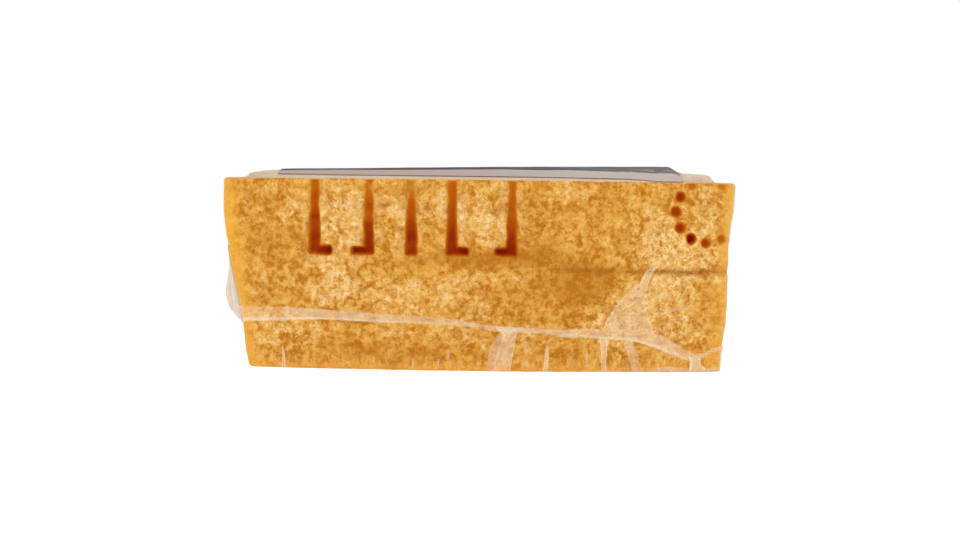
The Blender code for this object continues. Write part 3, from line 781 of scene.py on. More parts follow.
def printed_label():
    """A dark label with a pale band along its front and plain shapes for a print."""
    material, f, shader = start_material("printed label")
    lay = f.put("ShaderNodeTexCoord").outputs["UV"]
    u, v, _ = f.split(f.vector("SCALE", lay, scale=1000.0))
    edge = f.attribute("edge")
    ink = f.noise(f.join(u, v, 0.0), 0.12, 2.0, 0.5)
    field = f.mix(ink, colour(34, 27, 26), colour(48, 40, 38))
    gold, cream = colour(196, 152, 84), colour(236, 222, 196)
    border = f.maths("MULTIPLY", f.step(edge, 3.0, 3.2), f.step(edge, 3.7, 3.9, 1.0, 0.0))
    border = f.maths("MULTIPLY", border, f.step(v, 26.0, 26.2))
    front = f.maths("MULTIPLY", f.step(v, 25.8, 26.0), f.step(v, 26.5, 26.7, 1.0, 0.0))
    border = f.maths("MAXIMUM", border, f.maths("MULTIPLY", front, f.step(edge, 3.0, 3.2)))
    field = f.mix(border, field, gold)
    # A cream roundel with a wedge in it
    du, dv = f.maths("SUBTRACT", u, 0.0), f.maths("SUBTRACT", v, 45.0)
    away = f.maths("SQRT", f.maths("ADD", f.maths("MULTIPLY", du, du), f.maths("MULTIPLY", dv, dv)))
    field = f.mix(f.step(away, 17.3, 17.6, 1.0, 0.0), field, gold)
    field = f.mix(f.step(away, 16.4, 16.7, 1.0, 0.0), field, cream)
    slope = f.maths("MULTIPLY", f.maths("ADD", dv, 9.0), 0.62)
    wedge = f.maths("MULTIPLY", f.step(f.maths("SUBTRACT", slope, f.maths("ABSOLUTE", du)), -0.2, 0.2), f.step(away, 11.8, 12.1, 1.0, 0.0))
    field = f.mix(wedge, field, colour(224, 158, 58))
    for low, high, at_v in ((-20, 20, 72), (-14, 14, 78)):
        field = f.mix(box_mask(f, u, v, low, high, at_v, at_v + 2.2), field, cream)
    for low, high, at_v in ((-12, 12, 90), (-12, 8, 93), (-12, 10, 96)):
        field = f.mix(box_mask(f, u, v, low, high, at_v, at_v + 0.8), field, gold)
    # The pale band along the front, and a dark line at its front edge: painted shade of the narrow gap under the
    # label's lifted edge
    # Painted reflection: pale streaks on the dark field where the film over it is crumpled
    shine = f.noise(f.join(f.maths("MULTIPLY", u, 0.3), v, 0.0), 0.7, 1.5, 0.5, 0.5)
    shine = f.maths("MULTIPLY", f.step(shine, 0.52, 0.68, 0.0, 0.7), f.attribute("crumple_and_shine"))
    field = f.mix(shine, field, colour(226, 220, 216))
    shade = f.mix(f.step(f.attribute("band"), 0.45, 0.55), field, colour(176, 159, 147))
    # Painted shade along the front edge, fainter towards the ends
    middle = f.maths("MULTIPLY", f.step(u, -53.0, -46.0, 0.3, 1.0), f.step(u, 34.0, 46.0, 1.0, 0.15))
    shade = f.mix(f.maths("MULTIPLY", f.step(v, 0.1, 0.3, 1.0, 0.0), middle), shade, colour(158, 126, 110))
    f.feed(shader.inputs["Base Color"], shade)
    shader.inputs["Roughness"].default_value = 0.4
    shader.inputs["Specular IOR Level"].default_value = 0.03
    relief = f.noise(f.join(u, v, 0.0), 0.35, 3.0, 0.5)
    relief = f.maths("MULTIPLY", relief, f.maths("MULTIPLY_ADD", f.attribute("crumple_and_shine"), 3.0, 1.0))
    bump = f.put("ShaderNodeBump", Height=relief, Strength=0.3, Distance=0.0004)
    f.feed(shader.inputs["Normal"], bump.outputs[0])
    return material


# ---------------------------------------------------------------- cheese


DIMPLE = (63.2 * MM, 3.0 * MM)  # a bare hollow at the foot of the rind's right end


def make_cheese(material):
    spans = {RIND: 300, RIGHT: 112, TIP: 14, LEFT: 112}
    rings = wedge_shell(spans, 4, 108, 20, 10)
    normal = shell_normals(rings)
    x, y, z = rings[..., 0], rings[..., 1], rings[..., 2]
    behind = rind_radius(z) - np.hypot(x, AXIS_Y - y)
    on_rind = 1 - smooth(0.4 * MM, 1.4 * MM, behind)
    facing = on_rind * smooth(0.1, 0.5, -normal[..., 1])
    stamp, dark, lip = (values * facing for values in stamped(x, z))
    left = x - through(LEFT_END, z)
    right = through(RIGHT_END, z) - x
    rim = 1 - smooth(0.2 * MM, 4.2 * MM, np.minimum(left * 0.75, right) + 0.9 * MM * grain(rings, 3 * MM, 2))
    rim = np.maximum(rim, 0.8 * (1 - smooth(0.2 * MM, 3.0 * MM, z + 0.8 * MM * grain(rings, 4 * MM, 4))))
    dimple = bell(np.hypot((x - DIMPLE[0]) * 1.2, z - DIMPLE[1] + 0.35 * (DIMPLE[0] - x)), 0, 1.9 * MM)
    rim = on_rind * np.maximum(rim * (1 - dimple), dimple)

    cloth = grain(rings, 3.2 * MM, 1) * 0.09 * MM + grain(rings, 1.3 * MM, 3) * 0.05 * MM
    # A shallow groove with a darker line along it, on the right half of the rind
    groove_line = bell(z + 0.4 * MM * grain(rings, 6 * MM, 13), 27.3 * MM, 0.75 * MM) * smooth(16 * MM, 30 * MM, x)
    groove = 0.2 * MM * groove_line
    cut = grain(rings, 9 * MM, 7) * 0.22 * MM + grain(rings, 2.2 * MM, 8) * 0.12 * MM
    crack = np.abs(grain(rings * np.array([1.0, 0.35, 1.6]), 11 * MM, 9))
    crack = (1 - smooth(0, 0.05, crack)) * smooth(0.1, 0.5, grain(rings, 22 * MM, 10))
    under_label = smooth(0.6, 0.9, normal[..., 2])
    cut = np.minimum(cut - 0.1 * MM - 0.45 * MM * crack, 0.07 * MM) * (1 - 0.75 * under_label)
    rough = on_rind * (cloth - groove - 0.5 * MM * dimple) + (1 - on_rind) * cut
    base = smooth(-0.95, -0.6, normal[..., 2])
    rough = rough * base - (1 - base) * 0.12 * MM * (1 + grain(rings, 2 * MM, 11))
    points = rings + normal * (rough - FILM_SINK - stamp)[..., None]
    top = points[0].mean(axis=0)
    low = points[-1].mean(axis=0)
    everything = np.concatenate([points.reshape(-1, 3), [top], [low]])

    # Painted shade: the paste darker on the right of the top face, close to the rind
    painted_shade = under_label * smooth(45 * MM, 56 * MM, x) * (1 - smooth(12 * MM, 24 * MM, behind))

    def spread(values, at_middle):
        return np.concatenate([values.ravel(), [at_middle, at_middle]])

    attributes = {
        "behind": spread(behind, 90 * MM),
        # The stamped marks' darkness, partly painted shade in the dents
        "stamp": spread(dark, 0),
        "lip": spread(lip * np.clip(chalkiness(x, z) * 1.6 - 0.25, 0, 1), 0),
        "groove_line": spread(0.75 * groove_line * on_rind, 0),
        "painted_shade": spread(painted_shade, 0),
        "streak": spread(sheen_streaks(x, z), 0),
        "chalk": spread(chalkiness(x, z), 0.5),
        "rim": spread(rim, 0),
    }
    faces = shell_faces(*rings.shape[:2])
    piece = make_piece("cheese_wedge", everything, faces, [material], "cheese", attributes)
    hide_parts("cheese")
    return piece


# ---------------------------------------------------------------- film


def make_wrap(material):
    """The skin of film, lying tight on the cheese and bridging the stamped marks."""
    spans = {RIND: 230, RIGHT: 90, TIP: 12, LEFT: 90}
    rings = wedge_shell(spans, 4, 84, 16, 8)
    normal = shell_normals(rings)
    x, y, z = rings[..., 0], rings[..., 1], rings[..., 2]
    behind = rind_radius(z) - np.hypot(x, AXIS_Y - y)
    on_rind = 1 - smooth(0.4 * MM, 1.4 * MM, behind)
    sag = 0.35 * stamped(x, z)[0] * on_rind
    low = 1 - smooth(1 * MM, 6 * MM, z)
    pleat = np.sin(x / (0.42 * MM) + 3 * grain(rings, 3 * MM, 21)) * 0.05 * MM
    wave = grain(rings, 5 * MM, 22) * 0.04 * MM
    lift = FILM_OUT + wave + on_rind * low * pleat - sag
    base = smooth(-0.95, -0.6, normal[..., 2])
    points = rings + normal * (lift * base)[..., None]
    everything = np.concatenate([points.reshape(-1, 3), [points[0].mean(axis=0)], [points[-1].mean(axis=0)]])

    def spread(values):
        return np.concatenate([values.ravel(), [0, 0]])

    pulled = on_rind * (1 - smooth(0.5 * MM, 5.5 * MM, z)) * 0.45
    fan = bell(x, 58 * MM, 10 * MM) * bell(z, 20 * MM, 7 * MM) * on_rind
    upper = smooth(0.6, 0.9, normal[..., 2])
    slack = 0.15 * fan + (1 - on_rind) * (0.9 - 0.7 * upper)
    front_strip = (1 - on_rind) * upper * (1 - smooth(14 * MM, 22 * MM, behind))
    # Partly the film's own haze and partly painted light: a whitish veil on the front strip of the top stands in for
    # its reflection
    milky_and_sheen = 0.03 * (1 - on_rind) + 0.35 * front_strip * (1 - 0.9 * smooth(45 * MM, 56 * MM, x)) + 0.2 * on_rind * bell(z, 0, 1.4 * MM) * smooth(34 * MM, 44 * MM, x)
    # Painted highlight: a pale line of film along the rind's right edge
    milky_and_sheen = milky_and_sheen + 0.3 * on_rind * bell(through(RIGHT_END, z) - x, 0, 0.9 * MM)
    attributes = {"pulled": spread(pulled), "slack": spread(slack), "milky_and_sheen": spread(milky_and_sheen)}
    return make_piece("film_wrap", everything, shell_faces(*rings.shape[:2]), [material], "film", attributes)


def rind_frame(x, z):
    """Points on the rind at places (x, z), and the directions out of it."""
    step = 0.4 * MM
    point = np.stack([x, rind_y(x, z), z], -1)
    across = np.stack([np.full_like(x, 2 * step), rind_y(x + step, z) - rind_y(x - step, z), x * 0], -1)
    up = np.stack([x * 0, rind_y(x, z + step) - rind_y(x, z - step), np.full_like(x, 2 * step)], -1)
    out = np.cross(across, up)
    return point, out / np.linalg.norm(out, axis=-1, keepdims=True)


def wander(path, seed):
    """A path of (x, z) places, made a little uneven."""
    flat = np.concatenate([path, path[:, :1] * 0], -1)
    shift = [grain(flat, 2.6 * MM, seed + k) * 0.2 * MM + grain(flat, 1.1 * MM, seed + k) * 0.07 * MM for k in (6, 7)]
    return path + np.stack(shift, -1)


def fold_sheet(left, right, rows=20, across=8, lift=0.26, swell=0.2, seed=0, fade=(0, 0), edge=0.3, layers=1.0, glow=1.0):
    """A fold of film on the rind between two edges, each given by (x, z) places in millimetres."""
    a, b = (wander(along(edge_, rows), seed) for edge_ in (left, right))
    share = 0.5 - 0.5 * np.cos(np.pi * np.linspace(0, 1, across))
    flat = a[:, None] + (b - a)[:, None] * share[None, :, None]
    x, z = flat[..., 0], flat[..., 1]
    point, out = rind_frame(x, z)
    # Close to the base the film turns under the lower edge
    low = np.clip(LOWER_ROUND - z, 0, LOWER_ROUND)
    point[..., 1] += LOWER_ROUND - np.sqrt(np.maximum(LOWER_ROUND**2 - low**2, 0))
    point[..., 2] = np.maximum(point[..., 2], 0.02 * MM)
    width = np.linalg.norm(b - a, axis=-1)[:, None]
    plain = np.stack([x, z, z * 0], -1)
    bulge = swell * MM * np.sin(np.pi * share)[None, :] ** 0.7 * (1 + 0.3 * grain(plain, 6 * MM, seed + 1))
    height = lift * MM + bulge + grain(plain, 2.5 * MM, seed) * 0.1 * MM
    outer = point + out * height[..., None]
    points, faces = sheet_mesh(outer, 0.07 * MM, out)
    length = np.linspace(0, 1, rows)[:, None] * np.ones((1, across))
    near_edge = np.minimum(share, 1 - share)[None, :] * width
    fold = glow * (1 - smooth(0.03 * MM, edge * MM, near_edge)) * (0.75 + 0.35 * grain(plain, 3 * MM, seed + 2))
    amount = layers * np.ones((rows, 1)) * (near_edge > 0)
    if fade[0]:
        amount = amount * smooth(0, fade[0], length)
    if fade[1]:
        amount = amount * smooth(0, fade[1], 1 - length)
    run = length * np.linalg.norm(np.diff(a, axis=0), axis=1).sum()
    uv = np.stack([run + seed * MM, share[None, :] * width], -1).reshape(-1, 2)
    return points, faces, np.tile(fold.ravel(), 2), np.tile(amount.ravel(), 2), np.tile(uv, (2, 1))


def crease_sheet(path, width, seed=0, layers=1.0, ends=0.35):
    """A narrow raised crease along a path, fading out at its ends."""
    path = np.array(path, float)
    way = np.gradient(path, axis=0)
    aside = np.stack([-way[:, 1], way[:, 0]], -1) / np.linalg.norm(way, axis=1, keepdims=True) * width / 2
    rows = max(8, int(np.linalg.norm(np.diff(path, axis=0), axis=1).sum() / 0.6))
    return fold_sheet(path + aside, path - aside, rows, 5, 0.2, 0.06, seed, (ends, ends), 0.4, layers, 0.55)


def join_sheets(name, material, sheets):
    points, faces, fold, layers, uv = [], [], [], [], []
    for sheet in sheets:
        start = sum(len(part) for part in points)
        points.append(sheet[0])
        faces += [tuple(k + start for k in face) for face in sheet[1]]
        fold.append(sheet[2])
        layers.append(sheet[3])
        uv.append(sheet[4])
    attributes = {"fold": np.concatenate(fold), "layers": np.concatenate(layers)}
    return make_piece(name, np.concatenate(points), faces, [material], "film", attributes, np.concatenate(uv))


# The seam's lower and upper edges on the rind: (distance from the middle, height)
SEAM_LOWER = [(-66, 12.3), (-51.5, 12.9), (-41.5, 13.4), (-25.9, 12.9), (-10.7, 12.6), (0.7, 11.9), (3.5, 11.1)]
SEAM_LOWER += [(16, 10.5), (28.3, 9.5), (37.6, 8.9), (41.9, 8.5), (47, 7), (53.3, 4.6), (58.6, 3.1), (61.5, 3.9)]
SEAM_LOWER += [(64, 5.4), (66.5, 5.9)]
SEAM_UPPER = [(-66, 16.8), (-51.5, 16.7), (-41.5, 16.2), (-25.9, 15.2), (-10.7, 14.6), (-3.6, 13.7), (3.5, 12.6)]
SEAM_UPPER += [(11.2, 12.1), (22, 11.6), (33.7, 11.9), (46.8, 11.1), (53.3, 8), (58.6, 5.3), (61.5, 5.3)]
SEAM_UPPER += [(64, 6.7), (66.5, 7.2)]
TIP_SEAM = 25 * MM
TIP_SEAM_HALF = 1.15 * MM


def seam_z(line, edge, tip_z):
    """Height of one edge of the seam on an upright line of the wall."""
    side, s, turn = line
    place = 1.0 if turn is not None else s
    if side == RIND:
        return through(edge, plan(line, np.array([10 * MM]))[0, 0])
    if side == TIP:
        return tip_z
    if side == RIGHT:
        return edge[-1][1] * MM + (tip_z - edge[-1][1] * MM) * smooth(0, 1, place)
    return tip_z + (edge[0][1] * MM - tip_z) * smooth(0, 0.82, place)


def make_seam(material):
    """The film's seam: a flat ribbon round the wedge, with a rolled lower edge."""
    lines = columns({RIND: 220, RIGHT: 90, TIP: 10, LEFT: 90}, 4)
    lower, upper = (SEAM_LOWER, TIP_SEAM - TIP_SEAM_HALF), (SEAM_UPPER, TIP_SEAM + TIP_SEAM_HALF)
    edges = np.array([[seam_z(line, *lower), seam_z(line, *upper)] for line in lines])
    share = np.linspace(0, 1, 9)
    heights = edges[:, :1] + (edges[:, 1:] - edges[:, :1]) * share
    wall = wall_points(lines, heights, 0.0)
    way = np.roll(wall, -1, axis=0) - np.roll(wall, 1, axis=0)
    out = np.stack([way[..., 1], -way[..., 0], way[..., 0] * 0], -1)
    out /= np.linalg.norm(out, axis=-1, keepdims=True)
    roll = 0.22 * MM * bell(share, 0.12, 0.14) + 0.1 * MM * bell(share, 0.95, 0.1)
    lift = 0.34 * MM + roll[None, :] + 0.1 * MM * grain(wall, 4 * MM, 31) + 0.05 * MM * grain(wall, 1.2 * MM, 32)
    outer = wall + out * lift[..., None]
    inner = outer - out * 0.1 * MM
    rows, across = outer.shape[:2]
    rings = np.concatenate([outer, inner[:, ::-1]], axis=1)
    count = 2 * across
    faces = []
    for r in range(rows):
        following = (r + 1) % rows
        for c in range(count):
            d = (c + 1) % count
            faces.append((r * count + c, following * count + c, following * count + d, r * count + d))
    steps = np.linalg.norm(np.roll(wall[:, 4], -1, axis=0) - wall[:, 4], axis=-1)
    run = np.concatenate([[0], np.cumsum(steps)[:-1]])
    x = wall[:, 4, 0]
    front = wall[:, 4, 1] < FRONT_Y + 13 * MM
    # Left of the tick the seam's upper half is a single, faint layer
    faint = np.where(front, 1 - smooth(-52 * MM, -50 * MM, x), 0)
    layers = (1 - 0.5 * faint[:, None] * smooth(0.3, 0.45, share)[None, :]) * (0.92 + 0.2 * grain(wall, 7 * MM, 34))
    left = np.where(front, 1 - smooth(-34 * MM, -10 * MM, x), 0)[:, None]
    right = np.where(front, smooth(30 * MM, 36 * MM, x), 0)[:, None]
    bright = bell(share, 0.14, 0.12)[None, :] * (0.3 + 0.55 * left + 0.5 * right)
    bright = np.maximum(bright, bell(share, 0.94, 0.07)[None, :] * 0.5)
    bright = bright * (0.75 + 0.35 * grain(wall, 6 * MM, 33))
    knot = np.where(front, 0.7 * bell(x, 8 * MM, 2.6 * MM) + 0.5 * bell(x, 25 * MM, 3 * MM) + 0.4 * bell(x, 60 * MM, 2 * MM), 0)
    bright = np.maximum(bright, knot[:, None] * (0.7 + 0.3 * grain(wall, 2 * MM, 35)))
    def both(values):
        return np.concatenate([values, values[:, ::-1]], axis=1).ravel()
    uv = np.stack([run[:, None] * np.ones(across), heights - edges[:, :1]], -1)
    uv = np.concatenate([uv, uv[:, ::-1]], axis=1)
    piece = make_piece(
        "film_seam", rings, faces, [material], "film", {"fold": both(bright), "layers": both(layers)}, uv
    )
    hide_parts("film")
    return piece


EAR_LENGTH = 17 * MM
EAR_RIDGE = [(12, 0.6), (14, 2.7), (16, 4.2), (18, 4.6), (20, 4.4), (22, 3.7), (24.5, 2.6), (27, 1.6)]
EAR_RIDGE += [(30, 0.7), (33, 0.05)]
EAR_PROFILE = [(0, 0.0), (0.9, 0.6), (1.9, 0.88), (3.8, 1.0), (7, 0.8), (11, 0.45), (17, 0.03)]


def make_ear(material):
    """The loose ear of film on the left face beside the rind: an outer fold with a second one inside."""
    rows, across = 46, 40
    side_length = np.linalg.norm(wedge_corners(np.zeros(1))[0] - wedge_corners(np.zeros(1))[3])
    heights = np.linspace(12, 33, rows) * MM
    reach = np.linspace(0, EAR_LENGTH, across)
    parts, part_faces, folds, thick = [], [], [], []
    ends = np.sin(np.pi * np.linspace(0, 1, rows)) ** 0.4
    for share, gap in ((1.0, 0.62), (0.6, 0.42)):
        outer = np.empty((rows, across, 3))
        out = np.empty((rows, across, 3))
        for k, back in enumerate(reach):
            base = on_side(LEFT, 1 - (back + CORNER_CUT * 0.6) / side_length, heights)
            corners = wedge_corners(heights)
            way = corners[0] - corners[3]
            way /= np.linalg.norm(way, axis=-1, keepdims=True)
            normal = np.stack([way[:, 1], -way[:, 0], way[:, 0] * 0], -1)
            stand = through(EAR_RIDGE, heights) * through(EAR_PROFILE, back) / MM * share
            outer[:, k, :2] = base
            outer[:, k, 2] = heights
            open_here = ends * smooth(0, 2.5 * MM, back)
            outer[:, k] += normal * (stand + (0.22 + (gap - 0.22) * open_here) * MM)[:, None]
            out[:, k] = normal
        rumple = grain(outer * np.array([1, 1, 0.45]), 2.4 * MM, 41) * 0.2 * MM
        calm = ends[:, None] * smooth(0, 3 * MM, reach)[None, :]
        outer += out * (rumple * calm)[..., None]
        points, faces = sheet_mesh(outer, 0.1 * MM, out)
        start = sum(len(p) for p in parts)
        parts.append(points)
        part_faces += [tuple(i + start for i in face) for face in faces]
        ridge = bell(reach, 5 * MM, 0.8 * MM)[None, :] * np.ones((rows, 1))
        folds.append(np.tile((ridge * 0.7).ravel(), 2))
        blend = (1 - smooth(6 * MM, 15 * MM, reach))[None, :] * np.ones((rows, 1))
        thick.append(np.tile((blend * (1.0 if share == 1 else 0.7)).ravel(), 2))
    uv = np.stack(np.meshgrid(heights, reach, indexing="ij"), -1).reshape(-1, 2)
    piece = make_piece(
        "film_ear", np.concatenate(parts), part_faces, [material], "film",
        {"fold": np.concatenate(folds), "layers": np.concatenate(thick)}, np.tile(uv, (4, 1)),
    )
    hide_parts("film")
    return piece


# Creases on the rind: (path, width, layers)
CREASES = [
    ([(-50.5, 42.3), (-48.6, 43.1), (-46.4, 43.6)], 0.7, 0.4),
    ([(-42.0, 44.0), (-39.8, 44.0), (-36, 43.9), (-31.6, 43.7)], 0.8, 0.45),
    ([(-27.0, 43.4), (-24, 43.5), (-20.4, 43.6)], 0.7, 0.35),
    ([(-45.8, 20.1), (-41, 19.9), (-36, 20.2), (-31.2, 20.0)], 0.6, 0.4),
    ([(45.4, 24.0), (47.4, 25.4), (49.8, 26.5)], 0.6, 0.5),
    ([(46.0, 24.6), (48.6, 26.1), (51.4, 26.9)], 0.5, 0.4),
    ([(45.9, 19.7), (48, 21.8), (50.3, 23.4)], 0.6, 0.4),
    ([(46.6, 15.0), (51, 16.9), (57.3, 18.4)], 1.3, 0.45),
    ([(47.2, 12.6), (52, 13.6), (58, 13.2)], 0.7, 0.3),
    ([(19.5, 10.3), (22.5, 9.9), (25.5, 9.8), (28.6, 10.1)], 1.0, 0.9),
    ([(-51.4, 17.6), (-51.2, 15.6), (-51.5, 13.5)], 1.0, 1.2),
    ([(29.3, 7.2), (29.4, 4), (29.3, 0.5)], 0.6, 0.6),
    ([(45.5, 0.7), (50, 0.9), (54, 0.8), (57.5, 0.8)], 1.2, 0.9),
    ([(61.5, 0.7), (63, 0.8), (65.8, 0.9)], 1.2, 0.9),
    ([(66.0, 6.4), (66.3, 4), (66.0, 0.8)], 1.1, 0.9),
    ([(-17.4, 3.6), (-17.3, 2), (-17.3, 0.5)], 0.6, 0.7),
    ([(-10.1, 3.8), (-10.5, 2), (-10.9, 0.5)], 0.6, 0.8),
    ([(-7.6, 6.4), (-7.7, 5), (-7.6, 3.5)], 0.6, 0.6),
    ([(13.0, 4.2), (13.4, 2.4), (13.9, 0.5)], 0.6, 0.6),
    ([(24.4, 4.8), (24.2, 2.6), (24.3, 0.5)], 0.5, 0.4),
]


def make_rind_folds(material):
    """The folds, knots and creases of film that lie on the rind."""
    corner = fold_sheet(
        [(49.8, 33), (48.6, 31), (46.4, 28.8), (44.7, 27.3), (43.5, 24.7), (40.4, 21.9), (38, 19.5), (35.5, 16.1), (34.3, 13.6), (33.4, 11)],
        [(50.1, 32.8), (48.8, 30.4), (47, 27.6), (46.4, 26.2), (45.6, 24.1), (45.2, 22), (44.9, 18.6), (45.7, 15.8), (46.6, 13.3), (47.4, 10.6)],
        46, 18, 0.26, 0.35, 51, (0.25, 0.07), 0.6, 0.64, 0.8,
    )
    pleats = [
        fold_sheet([(6.2, 12.2), (4.7, 9), (3.1, 5.8), (2.4, 0.1)], [(8.0, 12.2), (6.7, 9), (5.4, 5.4), (4.6, 0.1)], 26, 8, 0.24, 0.12, 53, layers=0.6, glow=0.3),
        fold_sheet([(7.8, 12.2), (6.5, 9), (5.2, 5.4), (4.4, 0.1)], [(10.9, 12.1), (10.2, 9.5), (9.5, 5.3), (8.7, 0.1)], 26, 12, 0.3, 0.35, 54, layers=1.0, glow=0.8),
        fold_sheet([(18.9, 8.9), (18.4, 7), (17.9, 3.6), (17.4, 0.1)], [(19.1, 8.9), (19.1, 7), (19.05, 3.5), (19.0, 0.1)], 18, 6, 0.24, 0.15, 55, (0.3, 0), layers=1.0),
        fold_sheet([(32.5, 10), (32.9, 7), (33.1, 4), (33.3, 0.1)], [(35.0, 10), (34.7, 7), (34.7, 4), (34.8, 0.1)], 20, 8, 0.24, 0.2, 57, layers=0.95),
        fold_sheet([(38.6, 9.2), (39.9, 6.2), (40.6, 4), (41.6, 0.1)], [(41.5, 9.1), (42.6, 6.6), (43.5, 4.2), (44.8, 0.1)], 20, 8, 0.22, 0.15, 59, layers=0.6, glow=0.5),
    ]
    knots = [
        fold_sheet(
            [(4.4, 12.7), (5.2, 11.4), (6.4, 10.4), (6.9, 9.5)], [(11.8, 12.3), (10.4, 11.6), (9.4, 10.7), (8.3, 9.5)],
            14, 10, 0.42, 0.4, 61, (0.3, 0.3), 0.9, 1.7, 0.7,
        ),
        fold_sheet(
            [(56.6, 5.0), (57.4, 3.4), (57.6, 2.0), (57.2, 0.5)], [(60.4, 5.0), (60.5, 3.6), (60.8, 2.2), (62.2, 0.6)],
            16, 10, 0.4, 0.3, 65, (0.2, 0), 0.9, 1.5, 0.7,
        ),
        fold_sheet([(-52.6, 7.4), (-52.8, 4), (-53.0, 0.1)], [(-52.4, 7.4), (-52.2, 4), (-51.9, 0.1)], 14, 5, 0.2, 0.12, 67, (0.4, 0), layers=1.1),
    ]
    join_sheets("film_corner_fold", material, [corner])
    join_sheets("film_pleats", material, pleats + knots)
    lines = [crease_sheet(path, width, 70 + k, layers) for k, (path, width, layers) in enumerate(CREASES)]
    join_sheets("film_creases", material, lines)


# ---------------------------------------------------------------- label

LABEL_HALF = 55.3 * MM
LABEL_HALF_SHARE = 0.93
# How far behind the rind the label's front edge lies, from its left end at -10 to its right end at 10
LABEL_FRONT = [(-10, 12.2), (0, 11), (4.5, 9.8), (7.7, 7.2), (10, 4)]
# Where the dark field begins, in the same way
FIELD_FRONT = [(-10, 22.5), (0, 22.5), (4.5, 21.0), (8, 18.0), (10, 15.5)]
LABEL_BACK = 126 * MM
LABEL_CORNER = 2 * MM
LABEL_LIFT = 0.3 * MM
LABEL_THICKNESS = 0.13 * MM


def make_label(material):
    rows, across = 150, 110
    u = np.linspace(-1, 1, across)
    u = np.sign(u) * (1 - (1 - np.abs(u)) ** 1.3)
    front = through(LABEL_FRONT, u * 10 * MM)
    ease = smooth(0, 1, np.linspace(0, 1, rows)) * 0.35 + np.linspace(0, 1, rows) * 0.65
    run = (LABEL_BACK - front[None, :]) * ease[:, None]
    behind = front[None, :] + run
    radius = WHEEL_RADIUS - behind
    to_end = np.minimum(run, LABEL_BACK - behind)
    short = LABEL_CORNER - np.sqrt(np.maximum(LABEL_CORNER**2 - np.maximum(LABEL_CORNER - to_end, 0) ** 2, 0))
    half = np.minimum(LABEL_HALF, radius * math.sin(HALF_ANGLE * LABEL_HALF_SHARE)) - short
    x = half * u[None, :]
    # The front edge follows the rind, the back edge is straight
    y = AXIS_Y - np.sqrt(radius**2 - (1 - ease[:, None]) * x**2)
    place = np.stack([x, y, upper_z(x, y)], -1)
    rumple = grain(place, 18 * MM, 61) * 0.1 * MM + grain(place, 6 * MM, 62) * 0.05 * MM
    rumple = rumple * smooth(0, 6 * MM, run)
    outer = place + np.array([0, 0, 1.0]) * (LABEL_LIFT + rumple)[..., None]
    up = np.zeros_like(outer)
    up[..., 2] = 1
    points, faces = sheet_mesh(outer, LABEL_THICKNESS, up)
    edge = np.minimum((1 - np.abs(u))[None, :] * half, to_end)
    uv = np.stack([x, run], -1)
    field = through(FIELD_FRONT, u * 10 * MM)[None, :] + 0.25 * MM * grain(place, 9 * MM, 63)
    band = smooth(0.35 * MM, -0.35 * MM, behind - field)
    # Where the dark field's front is crumpled, with a painted reflection on it
    crumple_and_shine = bell(x, 46 * MM, 9 * MM) * bell(behind, 19.5 * MM, 3.5 * MM)
    attributes = {"edge": edge / MM, "band": band, "crumple_and_shine": crumple_and_shine}
    attributes = {title: np.tile(values.ravel(), 2) for title, values in attributes.items()}
    piece = make_piece(
        "label_sheet", points, faces, [material], "label", attributes, np.tile(uv.reshape(-1, 2), (2, 1))
    )
    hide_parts("label")
    return piece


# ---------------------------------------------------------------- stage

CAMERA_AWAY = 680 * MM
CAMERA_HEIGHT = 39.1 * MM
LOOK_AT = (0.43 * MM, FRONT_Y + 11.7 * MM, 27.15 * MM)
VIEW_WIDTH = 259.2 * MM
CAMERA_ROLL = math.radians(0.7)


def add_camera():
    data = bpy.data.cameras.new("camera")
    data.sensor_width = 36
    data.lens = 36 * CAMERA_AWAY / VIEW_WIDTH
    data.clip_start = 0.02
    camera = bpy.data.objects.new("camera", data)
    bpy.context.scene.collection.objects.link(camera)
    target = Vector(LOOK_AT)
    camera.location = (0.0, target.y - CAMERA_AWAY, CAMERA_HEIGHT)
    turn = (target - camera.location).to_track_quat("-Z", "Y")
    camera.rotation_mode = "QUATERNION"
    camera.rotation_quaternion = turn @ Quaternion((0, 0, 1), CAMERA_ROLL)
    bpy.context.scene.camera = camera


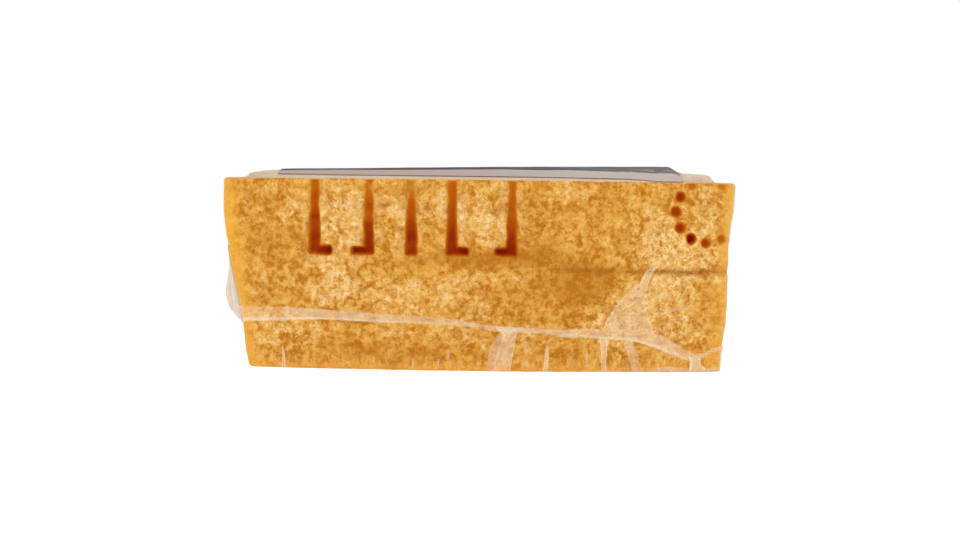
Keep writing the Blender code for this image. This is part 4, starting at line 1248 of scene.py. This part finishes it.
def add_light(name, place, size, power, tint=(1, 1, 1)):
    data = bpy.data.lights.new(name, "AREA")
    data.size = size
    data.energy = power
    data.color = tint
    light = bpy.data.objects.new(name, data)
    light.location = place
    light.visible_camera = False
    light.rotation_mode = "QUATERNION"
    light.rotation_quaternion = (Vector((0, 0, 0.03)) - Vector(place)).to_track_quat("-Z", "Y")
    bpy.context.scene.collection.objects.link(light)


def set_stage():
    scene = bpy.context.scene
    scene.view_settings.view_transform = "Standard"
    world = bpy.data.worlds.new("studio")
    world.use_nodes = True
    f = Finish(world.node_tree)
    background = world.node_tree.nodes["Background"]
    seen = f.put("ShaderNodeLightPath").outputs["Is Camera Ray"]
    way = f.put("ShaderNodeTexCoord").outputs["Generated"]
    room = f.mix(f.step(f.split(way)[1], -0.85, 0.1), (0.11, 0.11, 0.11, 1), (0.66, 0.66, 0.66, 1))
    f.feed(background.inputs["Color"], f.mix(seen, room, (1, 1, 1, 1)))
    scene.world = world

    material, f, shader = start_material("pale floor")
    shader.inputs["Base Color"].default_value = (0.8, 0.8, 0.8, 1)
    shader.inputs["Roughness"].default_value = 0.9
    shader.inputs["Specular IOR Level"].default_value = 0.0
    seen = f.put("ShaderNodeLightPath").outputs["Is Camera Ray"]
    f.feed(shader.inputs["Emission Color"], f.mix(seen, (0.4, 0.4, 0.4, 1), (1, 1, 1, 1)))
    shader.inputs["Emission Strength"].default_value = 1.0
    mesh = bpy.data.meshes.new("floor")
    size = 6.0
    corners = [(-size, -size, 0), (size, -size, 0), (size, size, 0), (-size, size, 0)]
    mesh.from_pydata([(x, y, -0.05 * MM) for x, y, _ in corners], [], [(0, 1, 2, 3)])
    mesh.materials.append(material)
    floor = bpy.data.objects.new("floor", mesh)
    scene.collection.objects.link(floor)
    add_light("key", (-0.75, -0.75, 0.8), 0.6, 8.0)
    add_light("fill", (0.85, -0.7, 0.45), 0.7, 4.7)
    add_light("back", (0.3, 0.9, 0.8), 0.6, 3.3)


def main():
    creases = crease_group()
    make_cheese(rind_and_paste(crumb_group(), mottling_group(), thread_group()))
    make_wrap(clear_film(creases))
    folded = folded_film(creases, "folded film", colour(226, 197, 158), 0.12, 0.46)
    make_seam(folded)
    make_rind_folds(folded)
    make_ear(folded_film(creases, "loose film", colour(215, 200, 187), 0.42, 0.66))
    make_label(printed_label())
    set_stage()
    add_camera()


main()
